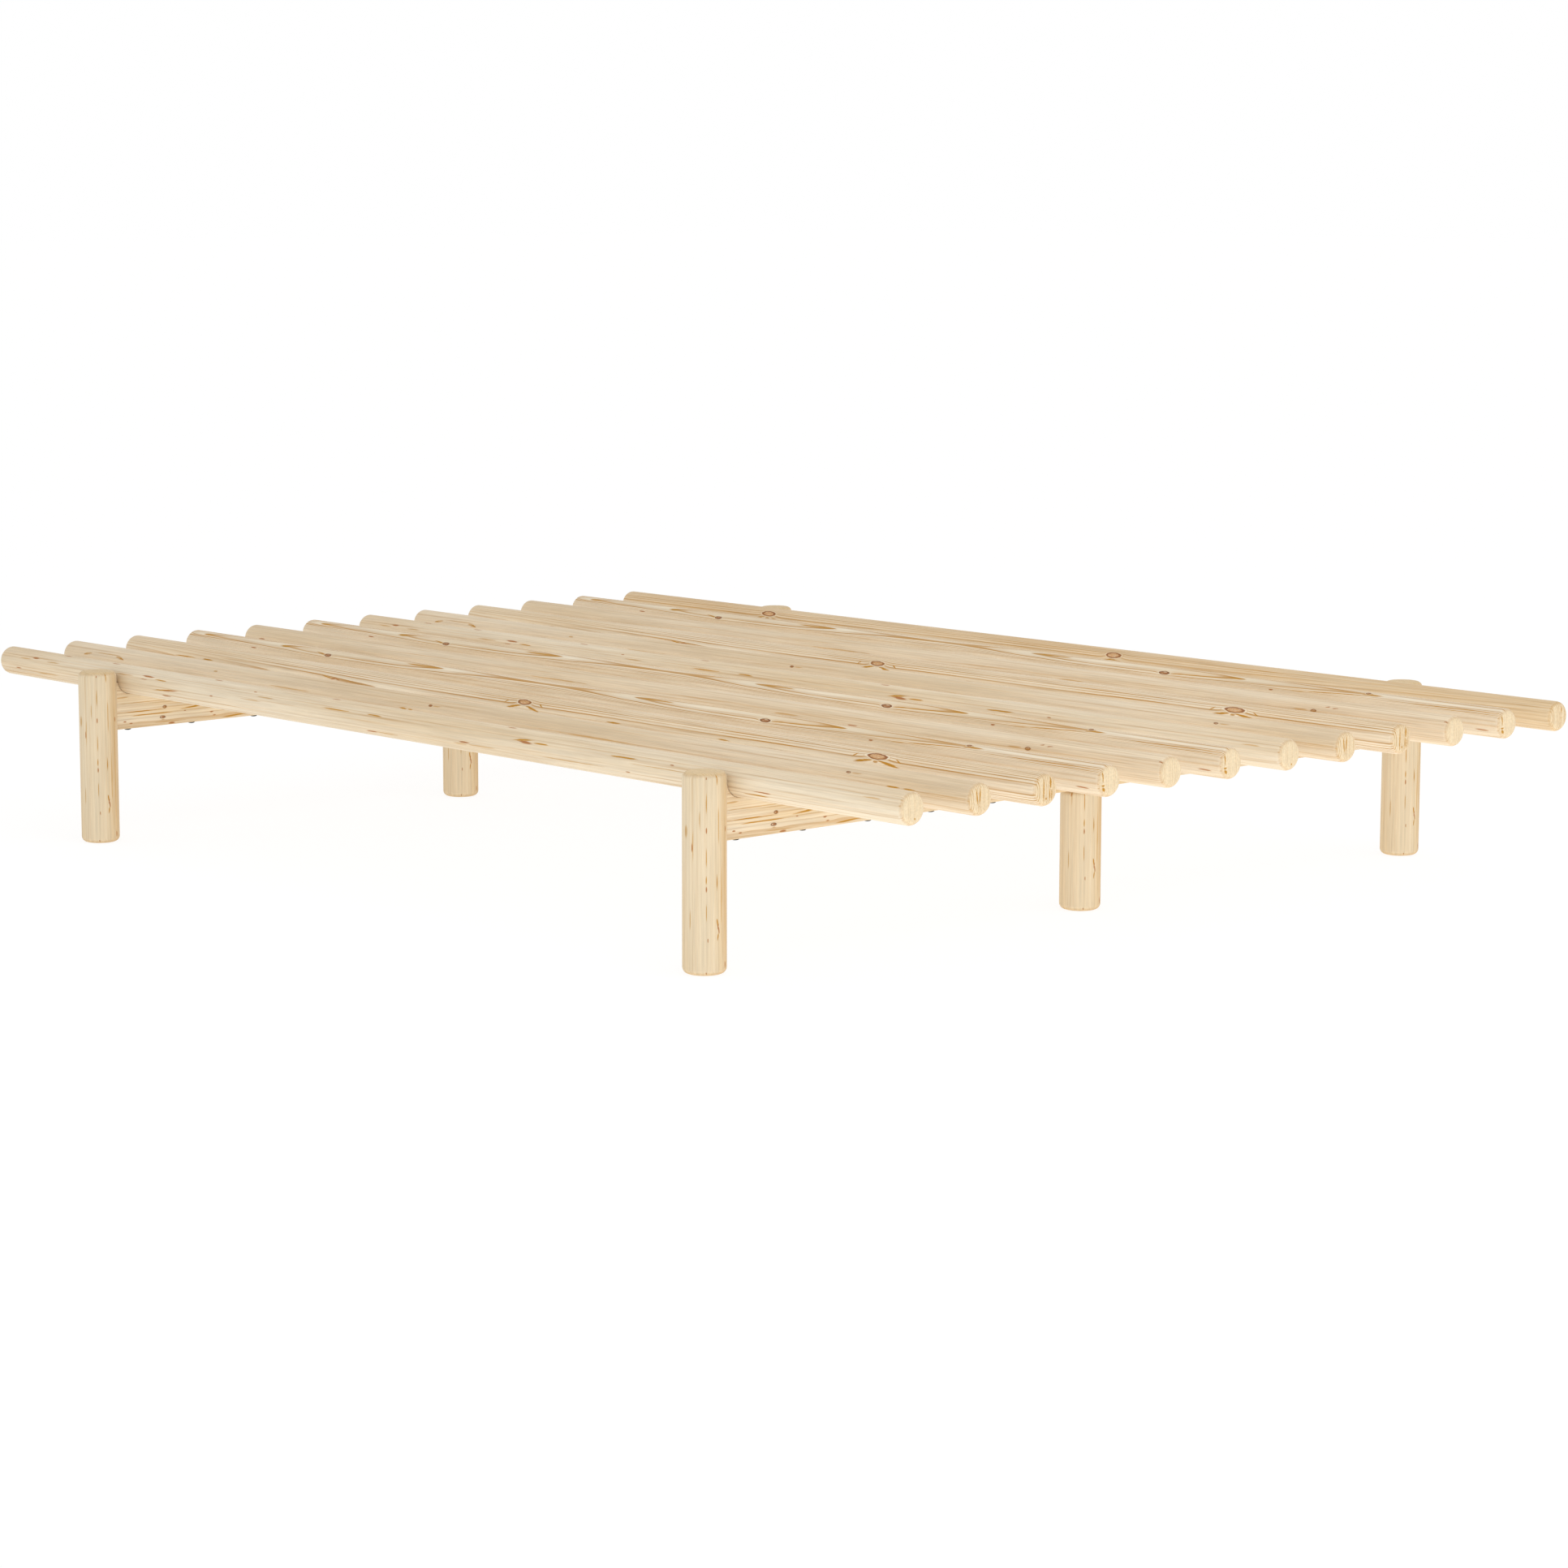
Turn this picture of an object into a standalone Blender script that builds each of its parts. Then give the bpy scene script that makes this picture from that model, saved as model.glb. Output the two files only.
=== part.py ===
"""Pine bed frame of round poles.

Twelve round poles lie side by side in the saddles of two cross beams.
Each beam is let into a round corner leg at both ends and stands on a round centre leg at its middle.
A dome-headed screw comes up through the beam into each pole.
A cam bolt and a cam barrel pull each corner leg onto its beam, and a stud joins each centre leg to its beam.

All sizes are in metres. The poles run along X, the beams along Y, and Z is up.
A pole's overhang is measured from its end to the middle of the beam.
Left is -X, right is +X, front is -Y and rear is +Y.
The origin is on the floor under the middle of the frame.
"""
import math

import bmesh
import bpy
from mathutils import Matrix

# Poles
POLE_COUNT = 12
POLE_LENGTH = 2.000
POLE_DIAMETER = 0.042
POLE_END_ROUND = 0.008
POLE_OVERHANG = 0.320

# Frame
FRAME_WIDTH = 1.410

# Legs
LEG_DIAMETER = 0.056
LEG_END_ROUND = 0.0085
LEG_TOP_BELOW_POLES = 0.005
LEG_TO_POLE_GAP = 0.002

# Cross beams
BEAM_UNDERSIDE_HEIGHT = 0.165
BEAM_THICKNESS = 0.020
BEAM_DEPTH = 0.070
BEAM_EDGE_CHAMFER = 0.0012
SADDLE_DEPTH = 0.0175
SADDLE_EXTRA_RADIUS = 0.002
LEG_HOUSING_DEPTH = 0.014

# Screws that hold the poles
SCREW_DIAMETER = 0.006
SCREW_BITE = 0.027
SCREW_TIP_LENGTH = 0.005
SCREW_TIP_SHARE = 0.125
SCREW_HEAD_DIAMETER = 0.0105
SCREW_HEAD_RIM = 0.0007
SCREW_HEAD_HEIGHT = 0.0026

# Cam bolts and cam barrels that hold the corner legs
CAM_BOLT_DIAMETER = 0.006
CAM_BOLT_GRIP = 0.024
CAM_BOLT_CHAMFER = 0.001
CAM_BOLT_ABOVE_UNDERSIDE = 0.033
CAM_BARREL_DIAMETER = 0.010
CAM_BARREL_OVER_BOLT = 0.006
CAM_BARREL_TO_LEG = 0.0022
CAM_SLOT_WIDTH = 0.0012
CAM_SLOT_DEPTH = 0.002

# Studs that hold the centre legs
STUD_DIAMETER = 0.008
STUD_LENGTH = 0.080
STUD_CHAMFER = 0.001

# Fit of mating faces, and how far every cutter runs past what it cuts
CONTACT_GAP = 0.0003
CUT_OVERRUN = 0.004

# Facets
POLE_SEGMENTS = 24
LEG_SEGMENTS = 24
SCREW_SEGMENTS = 8
FITTING_SEGMENTS = 12
ROUND_STEPS = 3
SADDLE_STEPS = 8
SMOOTH_BELOW_DEGREES = 35

# Places worked out from the sizes above
POLE_RADIUS = POLE_DIAMETER / 2
LEG_RADIUS = LEG_DIAMETER / 2
SADDLE_RADIUS = POLE_RADIUS + SADDLE_EXTRA_RADIUS
BEAM_X = POLE_LENGTH / 2 - POLE_OVERHANG
LEG_Y = FRAME_WIDTH / 2 - LEG_RADIUS
LEG_INNER_Y = LEG_Y - LEG_RADIUS
OUTER_POLE_Y = LEG_INNER_Y - LEG_TO_POLE_GAP - POLE_RADIUS
POLE_PITCH = 2 * OUTER_POLE_Y / (POLE_COUNT - 1)
SADDLE_FLOOR = BEAM_DEPTH - SADDLE_DEPTH
POLE_AXIS_HEIGHT = BEAM_UNDERSIDE_HEIGHT + SADDLE_FLOOR + CONTACT_GAP + POLE_RADIUS
LEG_HEIGHT = POLE_AXIS_HEIGHT + POLE_RADIUS - LEG_TOP_BELOW_POLES
CENTRE_LEG_HEIGHT = BEAM_UNDERSIDE_HEIGHT - CONTACT_GAP
BEAM_HALF_LENGTH = LEG_INNER_Y + LEG_HOUSING_DEPTH
SCREW_SHANK_LENGTH = SADDLE_FLOOR + 2 * CONTACT_GAP + SCREW_BITE
CAM_BARREL_RADIUS = CAM_BARREL_DIAMETER / 2
CAM_BARREL_Y = LEG_INNER_Y - CAM_BARREL_TO_LEG - CAM_BARREL_RADIUS
CAM_BARREL_LENGTH = CAM_BOLT_ABOVE_UNDERSIDE + CAM_BARREL_OVER_BOLT
CAM_BOLT_REACH = BEAM_HALF_LENGTH + CONTACT_GAP - CAM_BARREL_Y + CAM_BARREL_RADIUS / 2

# Colours of pine and of the two steels, as (red, green, blue), then roughness and metallic value
PINE_POLE = ("pine_pole", (0.74, 0.58, 0.37), 0.55, 0.0)
PINE_BEAM = ("pine_beam", (0.76, 0.58, 0.36), 0.55, 0.0)
PINE_LEG = ("pine_leg", (0.75, 0.57, 0.36), 0.55, 0.0)
BLACK_STEEL = ("black_steel", (0.03, 0.03, 0.035), 0.40, 0.9)
ZINC_STEEL = ("zinc_steel", (0.55, 0.56, 0.58), 0.35, 1.0)


def clear_scene():
    """Empties the scene of objects and meshes."""
    for thing in list(bpy.data.objects):
        bpy.data.objects.remove(thing, do_unlink=True)
    for mesh in list(bpy.data.meshes):
        bpy.data.meshes.remove(mesh)


def make_material(look):
    """Gives the material of a look, made on first use."""
    name, colour, roughness, metallic = look
    material = bpy.data.materials.get(name)
    if material is None:
        material = bpy.data.materials.new(name)
        material.use_nodes = True
        shader = material.node_tree.nodes["Principled BSDF"]
        shader.inputs["Base Color"].default_value = (*colour, 1.0)
        shader.inputs["Roughness"].default_value = roughness
        shader.inputs["Metallic"].default_value = metallic
        material.diffuse_color = (*colour, 1.0)
    return material


def place(name, mesh, location, turn=0.0):
    """Adds an object that shows the mesh at a location, turned about the vertical."""
    thing = bpy.data.objects.new(name, mesh)
    thing.location = location
    thing.rotation_euler = (0.0, 0.0, turn)
    bpy.context.scene.collection.objects.link(thing)
    return thing


def add_ring(bm, radius, height, segments, start):
    """Adds a ring of points about Z, the first at the start angle."""
    ring = []
    for step in range(segments):
        angle = start + 2 * math.pi * step / segments
        ring.append(bm.verts.new((radius * math.cos(angle), radius * math.sin(angle), height)))
    return ring


def turned_mesh(name, profile, segments, facet_first=False):
    """Turns a profile of (radius, height) points, listed from the bottom up, about Z and caps both ends.

    A point of each ring lies exactly at -Y, or with facet_first the middle of a facet does.
    """
    start = -math.pi / 2
    if facet_first:
        start += math.pi / segments
    bm = bmesh.new()
    rings = [add_ring(bm, radius, height, segments, start) for radius, height in profile]
    for lower, upper in zip(rings, rings[1:]):
        for step in range(segments):
            after = (step + 1) % segments
            bm.faces.new((lower[step], lower[after], upper[after], upper[step]))
    bm.faces.new(list(reversed(rings[0])))
    bm.faces.new(rings[-1])
    mesh = bpy.data.meshes.new(name)
    bm.to_mesh(mesh)
    bm.free()
    return mesh


def rounded_profile(radius, length, end_round):
    """Profile of a rod whose two ends are rounded over."""
    lower = []
    for step in range(ROUND_STEPS + 1):
        angle = math.pi / 2 * step / ROUND_STEPS
        inset = end_round * (1 - math.sin(angle))
        rise = end_round * (1 - math.cos(angle))
        lower.append((radius - inset, rise))
    upper = [(reach, length - rise) for reach, rise in reversed(lower)]
    return lower + upper


def chamfered_profile(radius, length, chamfer):
    """Profile of a pin whose two ends are chamfered."""
    return [
        (radius - chamfer, 0.0),
        (radius, chamfer),
        (radius, length - chamfer),
        (radius - chamfer, length),
    ]


def box_mesh(name, low, high):
    """Box between its low and high corners."""
    bm = bmesh.new()
    bmesh.ops.create_cube(bm, size=1.0)
    size = [top - bottom for bottom, top in zip(low, high)]
    middle = [(top + bottom) / 2 for bottom, top in zip(low, high)]
    bmesh.ops.scale(bm, vec=size, verts=bm.verts)
    bmesh.ops.translate(bm, vec=middle, verts=bm.verts)
    mesh = bpy.data.meshes.new(name)
    bm.to_mesh(mesh)
    bm.free()
    return mesh


def upright_bore(name, radius, at, bottom, top, segments):
    """Cutter for a round hole that runs upwards."""
    mesh = turned_mesh(name, [(radius, bottom), (radius, top)], segments, facet_first=True)
    mesh.transform(Matrix.Translation((*at, 0.0)))
    return mesh


def level_bore(name, radius, height, start, end, segments):
    """Cutter for a round hole that runs along Y from start to end."""
    mesh = turned_mesh(name, [(radius, -end), (radius, -start)], segments, facet_first=True)
    mesh.transform(Matrix.Rotation(math.pi / 2, 4, "X"))
    mesh.transform(Matrix.Translation((0.0, 0.0, height)))
    return mesh


def grouped(name, meshes):
    """One cutter that holds the given ones as separate solids, which stay clear of each other."""
    bm = bmesh.new()
    for mesh in meshes:
        bm.from_mesh(mesh)
        bpy.data.meshes.remove(mesh)
    group = bpy.data.meshes.new(name)
    bm.to_mesh(group)
    bm.free()
    return group


def carve(mesh, cutters):
    """Cuts the cutters out of the mesh, one after the other, and gives the carved mesh."""
    body = place(mesh.name + "_blank", mesh, (0.0, 0.0, 0.0))
    tools = [place(cutter.name, cutter, (0.0, 0.0, 0.0)) for cutter in cutters]
    for tool in tools:
        tool.hide_render = True
        tool.display_type = "WIRE"
        cut = body.modifiers.new(tool.name, "BOOLEAN")
        cut.operation = "DIFFERENCE"
        cut.solver = "EXACT"
        cut.object = tool
    depsgraph = bpy.context.evaluated_depsgraph_get()
    carved = bpy.data.meshes.new_from_object(body.evaluated_get(depsgraph))
    carved.name = mesh.name
    for thing in [body, *tools]:
        bpy.data.objects.remove(thing, do_unlink=True)
    for blank in [mesh, *cutters]:
        bpy.data.meshes.remove(blank)
    return carved


def finish(mesh, look):
    """Gives the mesh its material and shades its round sides smooth."""
    mesh.materials.clear()
    mesh.materials.append(make_material(look))
    mesh.shade_smooth()
    mesh.set_sharp_from_angle(angle=math.radians(SMOOTH_BELOW_DEGREES))
    return mesh


def pole_places():
    """Y of each pole's axis, from the front to the rear."""
    return [-OUTER_POLE_Y + index * POLE_PITCH for index in range(POLE_COUNT)]


# Pole: a rod with rounded ends and a screw hole over each beam

def pole_mesh():
    pole = turned_mesh("pole", rounded_profile(POLE_RADIUS, POLE_LENGTH, POLE_END_ROUND), POLE_SEGMENTS)
    pole.transform(Matrix.Translation((0.0, 0.0, -POLE_LENGTH / 2)))
    pole.transform(Matrix.Rotation(math.pi / 2, 4, "Z"))
    pole.transform(Matrix.Rotation(math.pi / 2, 4, "Y"))
    hole_radius = SCREW_DIAMETER / 2 + CONTACT_GAP
    hole_top = SCREW_BITE + CONTACT_GAP - POLE_RADIUS
    hole_bottom = -POLE_RADIUS - CUT_OVERRUN
    holes = [
        upright_bore("pole_hole", hole_radius, (x, 0.0), hole_bottom, hole_top, SCREW_SEGMENTS)
        for x in (-BEAM_X, BEAM_X)
    ]
    return finish(carve(pole, [grouped("pole_holes", holes)]), PINE_POLE)


# Cross beam: a board on edge with a row of saddles in its top

def saddle_points(centre):
    """Points along one saddle, from its front rim to its rear rim."""
    axis_height = SADDLE_FLOOR + SADDLE_RADIUS
    rim_angle = math.acos((SADDLE_RADIUS - SADDLE_DEPTH) / SADDLE_RADIUS)
    points = []
    for step in range(SADDLE_STEPS + 1):
        angle = rim_angle * (2 * step / SADDLE_STEPS - 1)
        y = centre + SADDLE_RADIUS * math.sin(angle)
        points.append((y, axis_height - SADDLE_RADIUS * math.cos(angle)))
    return points


def beam_outline():
    """Side view of the beam as (y, z) points, anticlockwise from its front bottom corner."""
    points = [(-BEAM_HALF_LENGTH, 0.0), (BEAM_HALF_LENGTH, 0.0), (BEAM_HALF_LENGTH, BEAM_DEPTH)]
    for centre in reversed(pole_places()):
        points.extend(reversed(saddle_points(centre)))
    points.append((-BEAM_HALF_LENGTH, BEAM_DEPTH))
    return points


def beam_blank():
    """Extrudes the beam's side view to its thickness and takes the sharp edges off its two faces."""
    bm = bmesh.new()
    corners = [bm.verts.new((-BEAM_THICKNESS / 2, y, z)) for y, z in beam_outline()]
    face = bm.faces.new(list(reversed(corners)))
    grown = bmesh.ops.extrude_face_region(bm, geom=[face])
    moved = [part for part in grown["geom"] if isinstance(part, bmesh.types.BMVert)]
    bmesh.ops.translate(bm, vec=(BEAM_THICKNESS, 0.0, 0.0), verts=moved)
    bmesh.ops.recalc_face_normals(bm, faces=bm.faces)
    rims = [edge for edge in bm.edges if abs(edge.verts[0].co.x - edge.verts[1].co.x) < BEAM_THICKNESS / 2]
    bmesh.ops.bevel(bm, geom=rims, offset=BEAM_EDGE_CHAMFER, segments=1, affect="EDGES")
    mesh = bpy.data.meshes.new("cross_beam")
    bm.to_mesh(mesh)
    bm.free()
    return mesh


def upright_beam_bores():
    """Cutter for what is bored from below: screw holes, the stud hole and the barrel holes."""
    screw_hole = SCREW_DIAMETER / 2 + CONTACT_GAP
    barrel_hole = CAM_BARREL_RADIUS + CONTACT_GAP
    stud_hole = STUD_DIAMETER / 2 + CONTACT_GAP
    barrel_top = CAM_BARREL_LENGTH + CONTACT_GAP
    stud_top = STUD_LENGTH / 2 + CONTACT_GAP
    bores = [
        upright_bore("screw_hole", screw_hole, (0.0, y), -CUT_OVERRUN, BEAM_DEPTH, SCREW_SEGMENTS)
        for y in pole_places()
    ]
    bores.append(upright_bore("stud_hole", stud_hole, (0.0, 0.0), -CUT_OVERRUN, stud_top, FITTING_SEGMENTS))
    for y in (-CAM_BARREL_Y, CAM_BARREL_Y):
        bores.append(
            upright_bore("barrel_hole", barrel_hole, (0.0, y), -CUT_OVERRUN, barrel_top, FITTING_SEGMENTS)
        )
    return grouped("upright_bores", bores)


def level_beam_bores():
    """Cutter for the bolt holes, bored from the beam's two ends as far as the barrels."""
    bolt_hole = CAM_BOLT_DIAMETER / 2 + CONTACT_GAP
    outer = BEAM_HALF_LENGTH + CUT_OVERRUN
    bores = [
        level_bore("bolt_hole", bolt_hole, CAM_BOLT_ABOVE_UNDERSIDE, start, end, FITTING_SEGMENTS)
        for start, end in ((-outer, -CAM_BARREL_Y), (CAM_BARREL_Y, outer))
    ]
    return grouped("level_bores", bores)


def beam_mesh():
    return finish(carve(beam_blank(), [upright_beam_bores(), level_beam_bores()]), PINE_BEAM)


# Corner leg: a turned post, housed for the beam's end on its +Y side

def corner_leg_mesh():
    leg = turned_mesh("corner_leg", rounded_profile(LEG_RADIUS, LEG_HEIGHT, LEG_END_ROUND), LEG_SEGMENTS)
    half_width = BEAM_THICKNESS / 2 + CONTACT_GAP
    floor = LEG_RADIUS - LEG_HOUSING_DEPTH - CONTACT_GAP
    housing = box_mesh(
        "housing",
        (-half_width, floor, BEAM_UNDERSIDE_HEIGHT - CONTACT_GAP),
        (half_width, LEG_RADIUS + CUT_OVERRUN, BEAM_UNDERSIDE_HEIGHT + BEAM_DEPTH + CONTACT_GAP),
    )
    bolt_height = BEAM_UNDERSIDE_HEIGHT + CAM_BOLT_ABOVE_UNDERSIDE
    bolt_hole = level_bore(
        "leg_bolt_hole",
        CAM_BOLT_DIAMETER / 2 + CONTACT_GAP,
        bolt_height,
        floor - CAM_BOLT_GRIP - CONTACT_GAP,
        floor + CUT_OVERRUN,
        FITTING_SEGMENTS,
    )
    return finish(carve(leg, [housing, bolt_hole]), PINE_LEG)


# Centre leg: a shorter turned post with a stud hole in its top

def centre_leg_mesh():
    leg = turned_mesh("centre_leg", rounded_profile(LEG_RADIUS, CENTRE_LEG_HEIGHT, LEG_END_ROUND), LEG_SEGMENTS)
    hole = upright_bore(
        "leg_stud_hole",
        STUD_DIAMETER / 2 + CONTACT_GAP,
        (0.0, 0.0),
        BEAM_UNDERSIDE_HEIGHT - STUD_LENGTH / 2 - CONTACT_GAP,
        CENTRE_LEG_HEIGHT + CUT_OVERRUN,
        FITTING_SEGMENTS,
    )
    return finish(carve(leg, [hole]), PINE_LEG)


# Screws, bolts, barrels and studs

def screw_mesh():
    """Screw that stands head down, with the seat of its head at height zero."""
    shank = SCREW_DIAMETER / 2
    head = SCREW_HEAD_DIAMETER / 2
    profile = [
        (shank, -SCREW_HEAD_HEIGHT),
        ((head + shank) / 2, -(SCREW_HEAD_HEIGHT + SCREW_HEAD_RIM) / 2),
        (head, -SCREW_HEAD_RIM),
        (head, 0.0),
        (shank, 0.0),
        (shank, SCREW_SHANK_LENGTH - SCREW_TIP_LENGTH),
        (shank * SCREW_TIP_SHARE, SCREW_SHANK_LENGTH),
    ]
    return finish(turned_mesh("pole_screw", profile, SCREW_SEGMENTS, facet_first=True), BLACK_STEEL)


def cam_bolt_mesh():
    """Bolt along Y, gripped in the leg at its -Y end, with the housing's floor at zero."""
    bolt = turned_mesh(
        "cam_bolt",
        chamfered_profile(CAM_BOLT_DIAMETER / 2, CAM_BOLT_GRIP + CAM_BOLT_REACH, CAM_BOLT_CHAMFER),
        FITTING_SEGMENTS,
        facet_first=True,
    )
    bolt.transform(Matrix.Translation((0.0, 0.0, -CAM_BOLT_GRIP)))
    bolt.transform(Matrix.Rotation(-math.pi / 2, 4, "X"))
    return finish(bolt, ZINC_STEEL)


def cam_barrel_mesh():
    """Upright barrel with a cross hole for the bolt's end and a driver slot in its foot."""
    barrel = turned_mesh(
        "cam_barrel",
        [(CAM_BARREL_RADIUS, 0.0), (CAM_BARREL_RADIUS, CAM_BARREL_LENGTH)],
        FITTING_SEGMENTS,
        facet_first=True,
    )
    cross_hole = level_bore(
        "cross_hole",
        CAM_BOLT_DIAMETER / 2 + CONTACT_GAP,
        CAM_BOLT_ABOVE_UNDERSIDE,
        -CAM_BARREL_RADIUS - CUT_OVERRUN,
        CAM_BARREL_RADIUS + CUT_OVERRUN,
        FITTING_SEGMENTS,
    )
    reach = CAM_BARREL_RADIUS + CUT_OVERRUN
    slot = box_mesh(
        "driver_slot",
        (-reach, -CAM_SLOT_WIDTH / 2, -CUT_OVERRUN),
        (reach, CAM_SLOT_WIDTH / 2, CAM_SLOT_DEPTH),
    )
    return finish(carve(barrel, [cross_hole, slot]), ZINC_STEEL)


def stud_mesh():
    stud = turned_mesh(
        "centre_stud",
        chamfered_profile(STUD_DIAMETER / 2, STUD_LENGTH, STUD_CHAMFER),
        FITTING_SEGMENTS,
        facet_first=True,
    )
    return finish(stud, ZINC_STEEL)


# Assembly

def place_poles():
    pole = pole_mesh()
    for index, y in enumerate(pole_places(), start=1):
        place(f"pole_{index:02d}", pole, (0.0, y, POLE_AXIS_HEIGHT))


def place_beams():
    beam = beam_mesh()
    for side, x in (("left", -BEAM_X), ("right", BEAM_X)):
        place(f"cross_beam_{side}", beam, (x, 0.0, BEAM_UNDERSIDE_HEIGHT))


def place_pole_screws():
    screw = screw_mesh()
    seat = BEAM_UNDERSIDE_HEIGHT - CONTACT_GAP
    for side, x in (("left", -BEAM_X), ("right", BEAM_X)):
        for index, y in enumerate(pole_places(), start=1):
            place(f"pole_screw_{side}_{index:02d}", screw, (x, y, seat))


def place_corner_legs():
    """Legs, cam bolts and cam barrels. The rear ones are the front ones turned half round."""
    leg = corner_leg_mesh()
    bolt = cam_bolt_mesh()
    barrel = cam_barrel_mesh()
    bolt_height = BEAM_UNDERSIDE_HEIGHT + CAM_BOLT_ABOVE_UNDERSIDE
    housing_floor_y = BEAM_HALF_LENGTH + CONTACT_GAP
    for row, sign, turn in (("front", -1, 0.0), ("rear", 1, math.pi)):
        for side, x in (("left", -BEAM_X), ("right", BEAM_X)):
            corner = f"{row}_{side}"
            place(f"corner_leg_{corner}", leg, (x, sign * LEG_Y, 0.0), turn)
            place(f"cam_bolt_{corner}", bolt, (x, sign * housing_floor_y, bolt_height), turn)
            place(f"cam_barrel_{corner}", barrel, (x, sign * CAM_BARREL_Y, BEAM_UNDERSIDE_HEIGHT), turn)


def place_centre_legs():
    leg = centre_leg_mesh()
    stud = stud_mesh()
    stud_bottom = BEAM_UNDERSIDE_HEIGHT - STUD_LENGTH / 2
    for side, x in (("left", -BEAM_X), ("right", BEAM_X)):
        place(f"centre_leg_{side}", leg, (x, 0.0, 0.0))
        place(f"centre_stud_{side}", stud, (x, 0.0, stud_bottom))


def build():
    clear_scene()
    place_poles()
    place_beams()
    place_pole_screws()
    place_corner_legs()
    place_centre_legs()


build()
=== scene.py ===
"""Looks of the pine bed frame: twelve round poles on two cross beams and six round legs.

Every wooden piece is modelled along its own X, which is the direction of its grain.
Lengths are in metres in the meshes and in millimetres in the materials' patterns.
"""
import math

import bmesh
import bpy
from mathutils import Matrix, Vector


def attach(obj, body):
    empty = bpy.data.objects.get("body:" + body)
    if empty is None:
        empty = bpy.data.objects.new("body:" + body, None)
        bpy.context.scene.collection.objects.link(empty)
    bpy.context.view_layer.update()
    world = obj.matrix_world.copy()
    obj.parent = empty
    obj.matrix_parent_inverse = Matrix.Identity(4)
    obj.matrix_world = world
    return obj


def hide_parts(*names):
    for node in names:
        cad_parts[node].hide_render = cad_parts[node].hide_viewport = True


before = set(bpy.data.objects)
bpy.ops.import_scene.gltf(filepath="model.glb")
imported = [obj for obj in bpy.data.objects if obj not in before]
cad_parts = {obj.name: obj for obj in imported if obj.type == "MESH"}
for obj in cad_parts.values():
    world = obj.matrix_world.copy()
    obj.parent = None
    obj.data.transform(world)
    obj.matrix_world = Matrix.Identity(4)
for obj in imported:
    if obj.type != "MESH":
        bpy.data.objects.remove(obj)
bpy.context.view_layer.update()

# Sizes of the CAD model, in metres. Only the saddles' radius is smaller here, nearer to the poles'.
POLE_COUNT = 12
POLE_LENGTH = 2.000
POLE_RADIUS = 0.021
POLE_END_ROUND = 0.008
POLE_HEIGHT = 0.2388
OUTER_POLE_Y = 0.626
BEAM_X = 0.680
BEAM_HALF_LENGTH = 0.663
BEAM_UNDERSIDE = 0.165
BEAM_THICKNESS = 0.020
BEAM_DEPTH = 0.070
BEAM_EDGE = 0.0012
SADDLE_RADIUS = 0.0216
SADDLE_DEPTH = 0.0175
LEG_RADIUS = 0.028
LEG_Y = 0.677
LEG_HEIGHT = 0.2548
CENTRE_LEG_HEIGHT = 0.1647
LEG_END_ROUND = 0.0085
HOUSING_DEPTH = 0.014
GAP = 0.0003
SCREW_RADIUS = 0.003
SCREW_LENGTH = 0.0801
SCREW_HEAD_RADIUS = 0.00525
SCREW_HEAD_HEIGHT = 0.0026
SCREW_HEAD_RIM = 0.0007
BOLT_RADIUS = 0.003
BOLT_HEIGHT = 0.033
BOLT_GRIP = 0.024
BARREL_RADIUS = 0.005
BARREL_LENGTH = 0.039
BARREL_Y = 0.6418
STUD_RADIUS = 0.004
STUD_HALF_LENGTH = 0.040
POLE_BORE_TOP = BEAM_UNDERSIDE + SCREW_LENGTH - POLE_HEIGHT
SIDES = (("left", -BEAM_X), ("right", BEAM_X))
ROWS = (("front", 1), ("rear", -1))

# Finer details of screws and barrels
SOCKET_RADIUS = 0.0020
SOCKET_DEPTH = 0.0017
SOCKET_SIDES = 6
SEAT_EDGE_HEIGHT = 0.00014
SEAT_EDGE_SHARE = 0.985
THREAD_PITCH = 0.002
THREAD_DEPTH = 0.0006
THREADED = 0.026
TIP_PITCHES = 2
BARREL_EDGE = 0.0005
SLOT_WIDTH = 0.0012
SLOT_DEPTH = 0.002

# Facets of the fine meshes and reach of their cutters
ROUND_SEGMENTS = 72
FITTING_SEGMENTS = 32
ARC_STEPS = 10
SADDLE_STEPS = 28
BEVEL_STEPS = 3
BODY_STEP = 0.05
END_RING_SHARE = 0.5
OVERRUN = 0.004
CUTTER_TWIST = 0.05
SMOOTH_BELOW = math.radians(35)

# Camera, fitted to the outlines in the photo
CAMERA_AZIMUTH = 47.60501776788007
CAMERA_ELEVATION = 8.545156855200405
CAMERA_ROLL = 0.11273747878190635
CAMERA_PLACE = (4.494520780518292, -4.025874408393667, 1.001001564670659)
FOCAL_PIXELS = 5103.799610862038
IMAGE_PIXELS = 1932
SENSOR_MM = 36.0
CLIP_NEAR = 0.1
CLIP_FAR = 200.0

MM = 0.001


# Meshes

def add_object(name, data, place=(0.0, 0.0, 0.0), turn=(0.0, 0.0, 0.0)):
    """Adds an object with this data to the scene."""
    made = bpy.data.objects.new(name, data)
    made.location = place
    made.rotation_euler = turn
    bpy.context.scene.collection.objects.link(made)
    return made


def as_mesh(bm, name):
    """Gives a bmesh as a mesh and frees it."""
    mesh = bpy.data.meshes.new(name)
    bm.to_mesh(mesh)
    bm.free()
    return mesh


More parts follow.
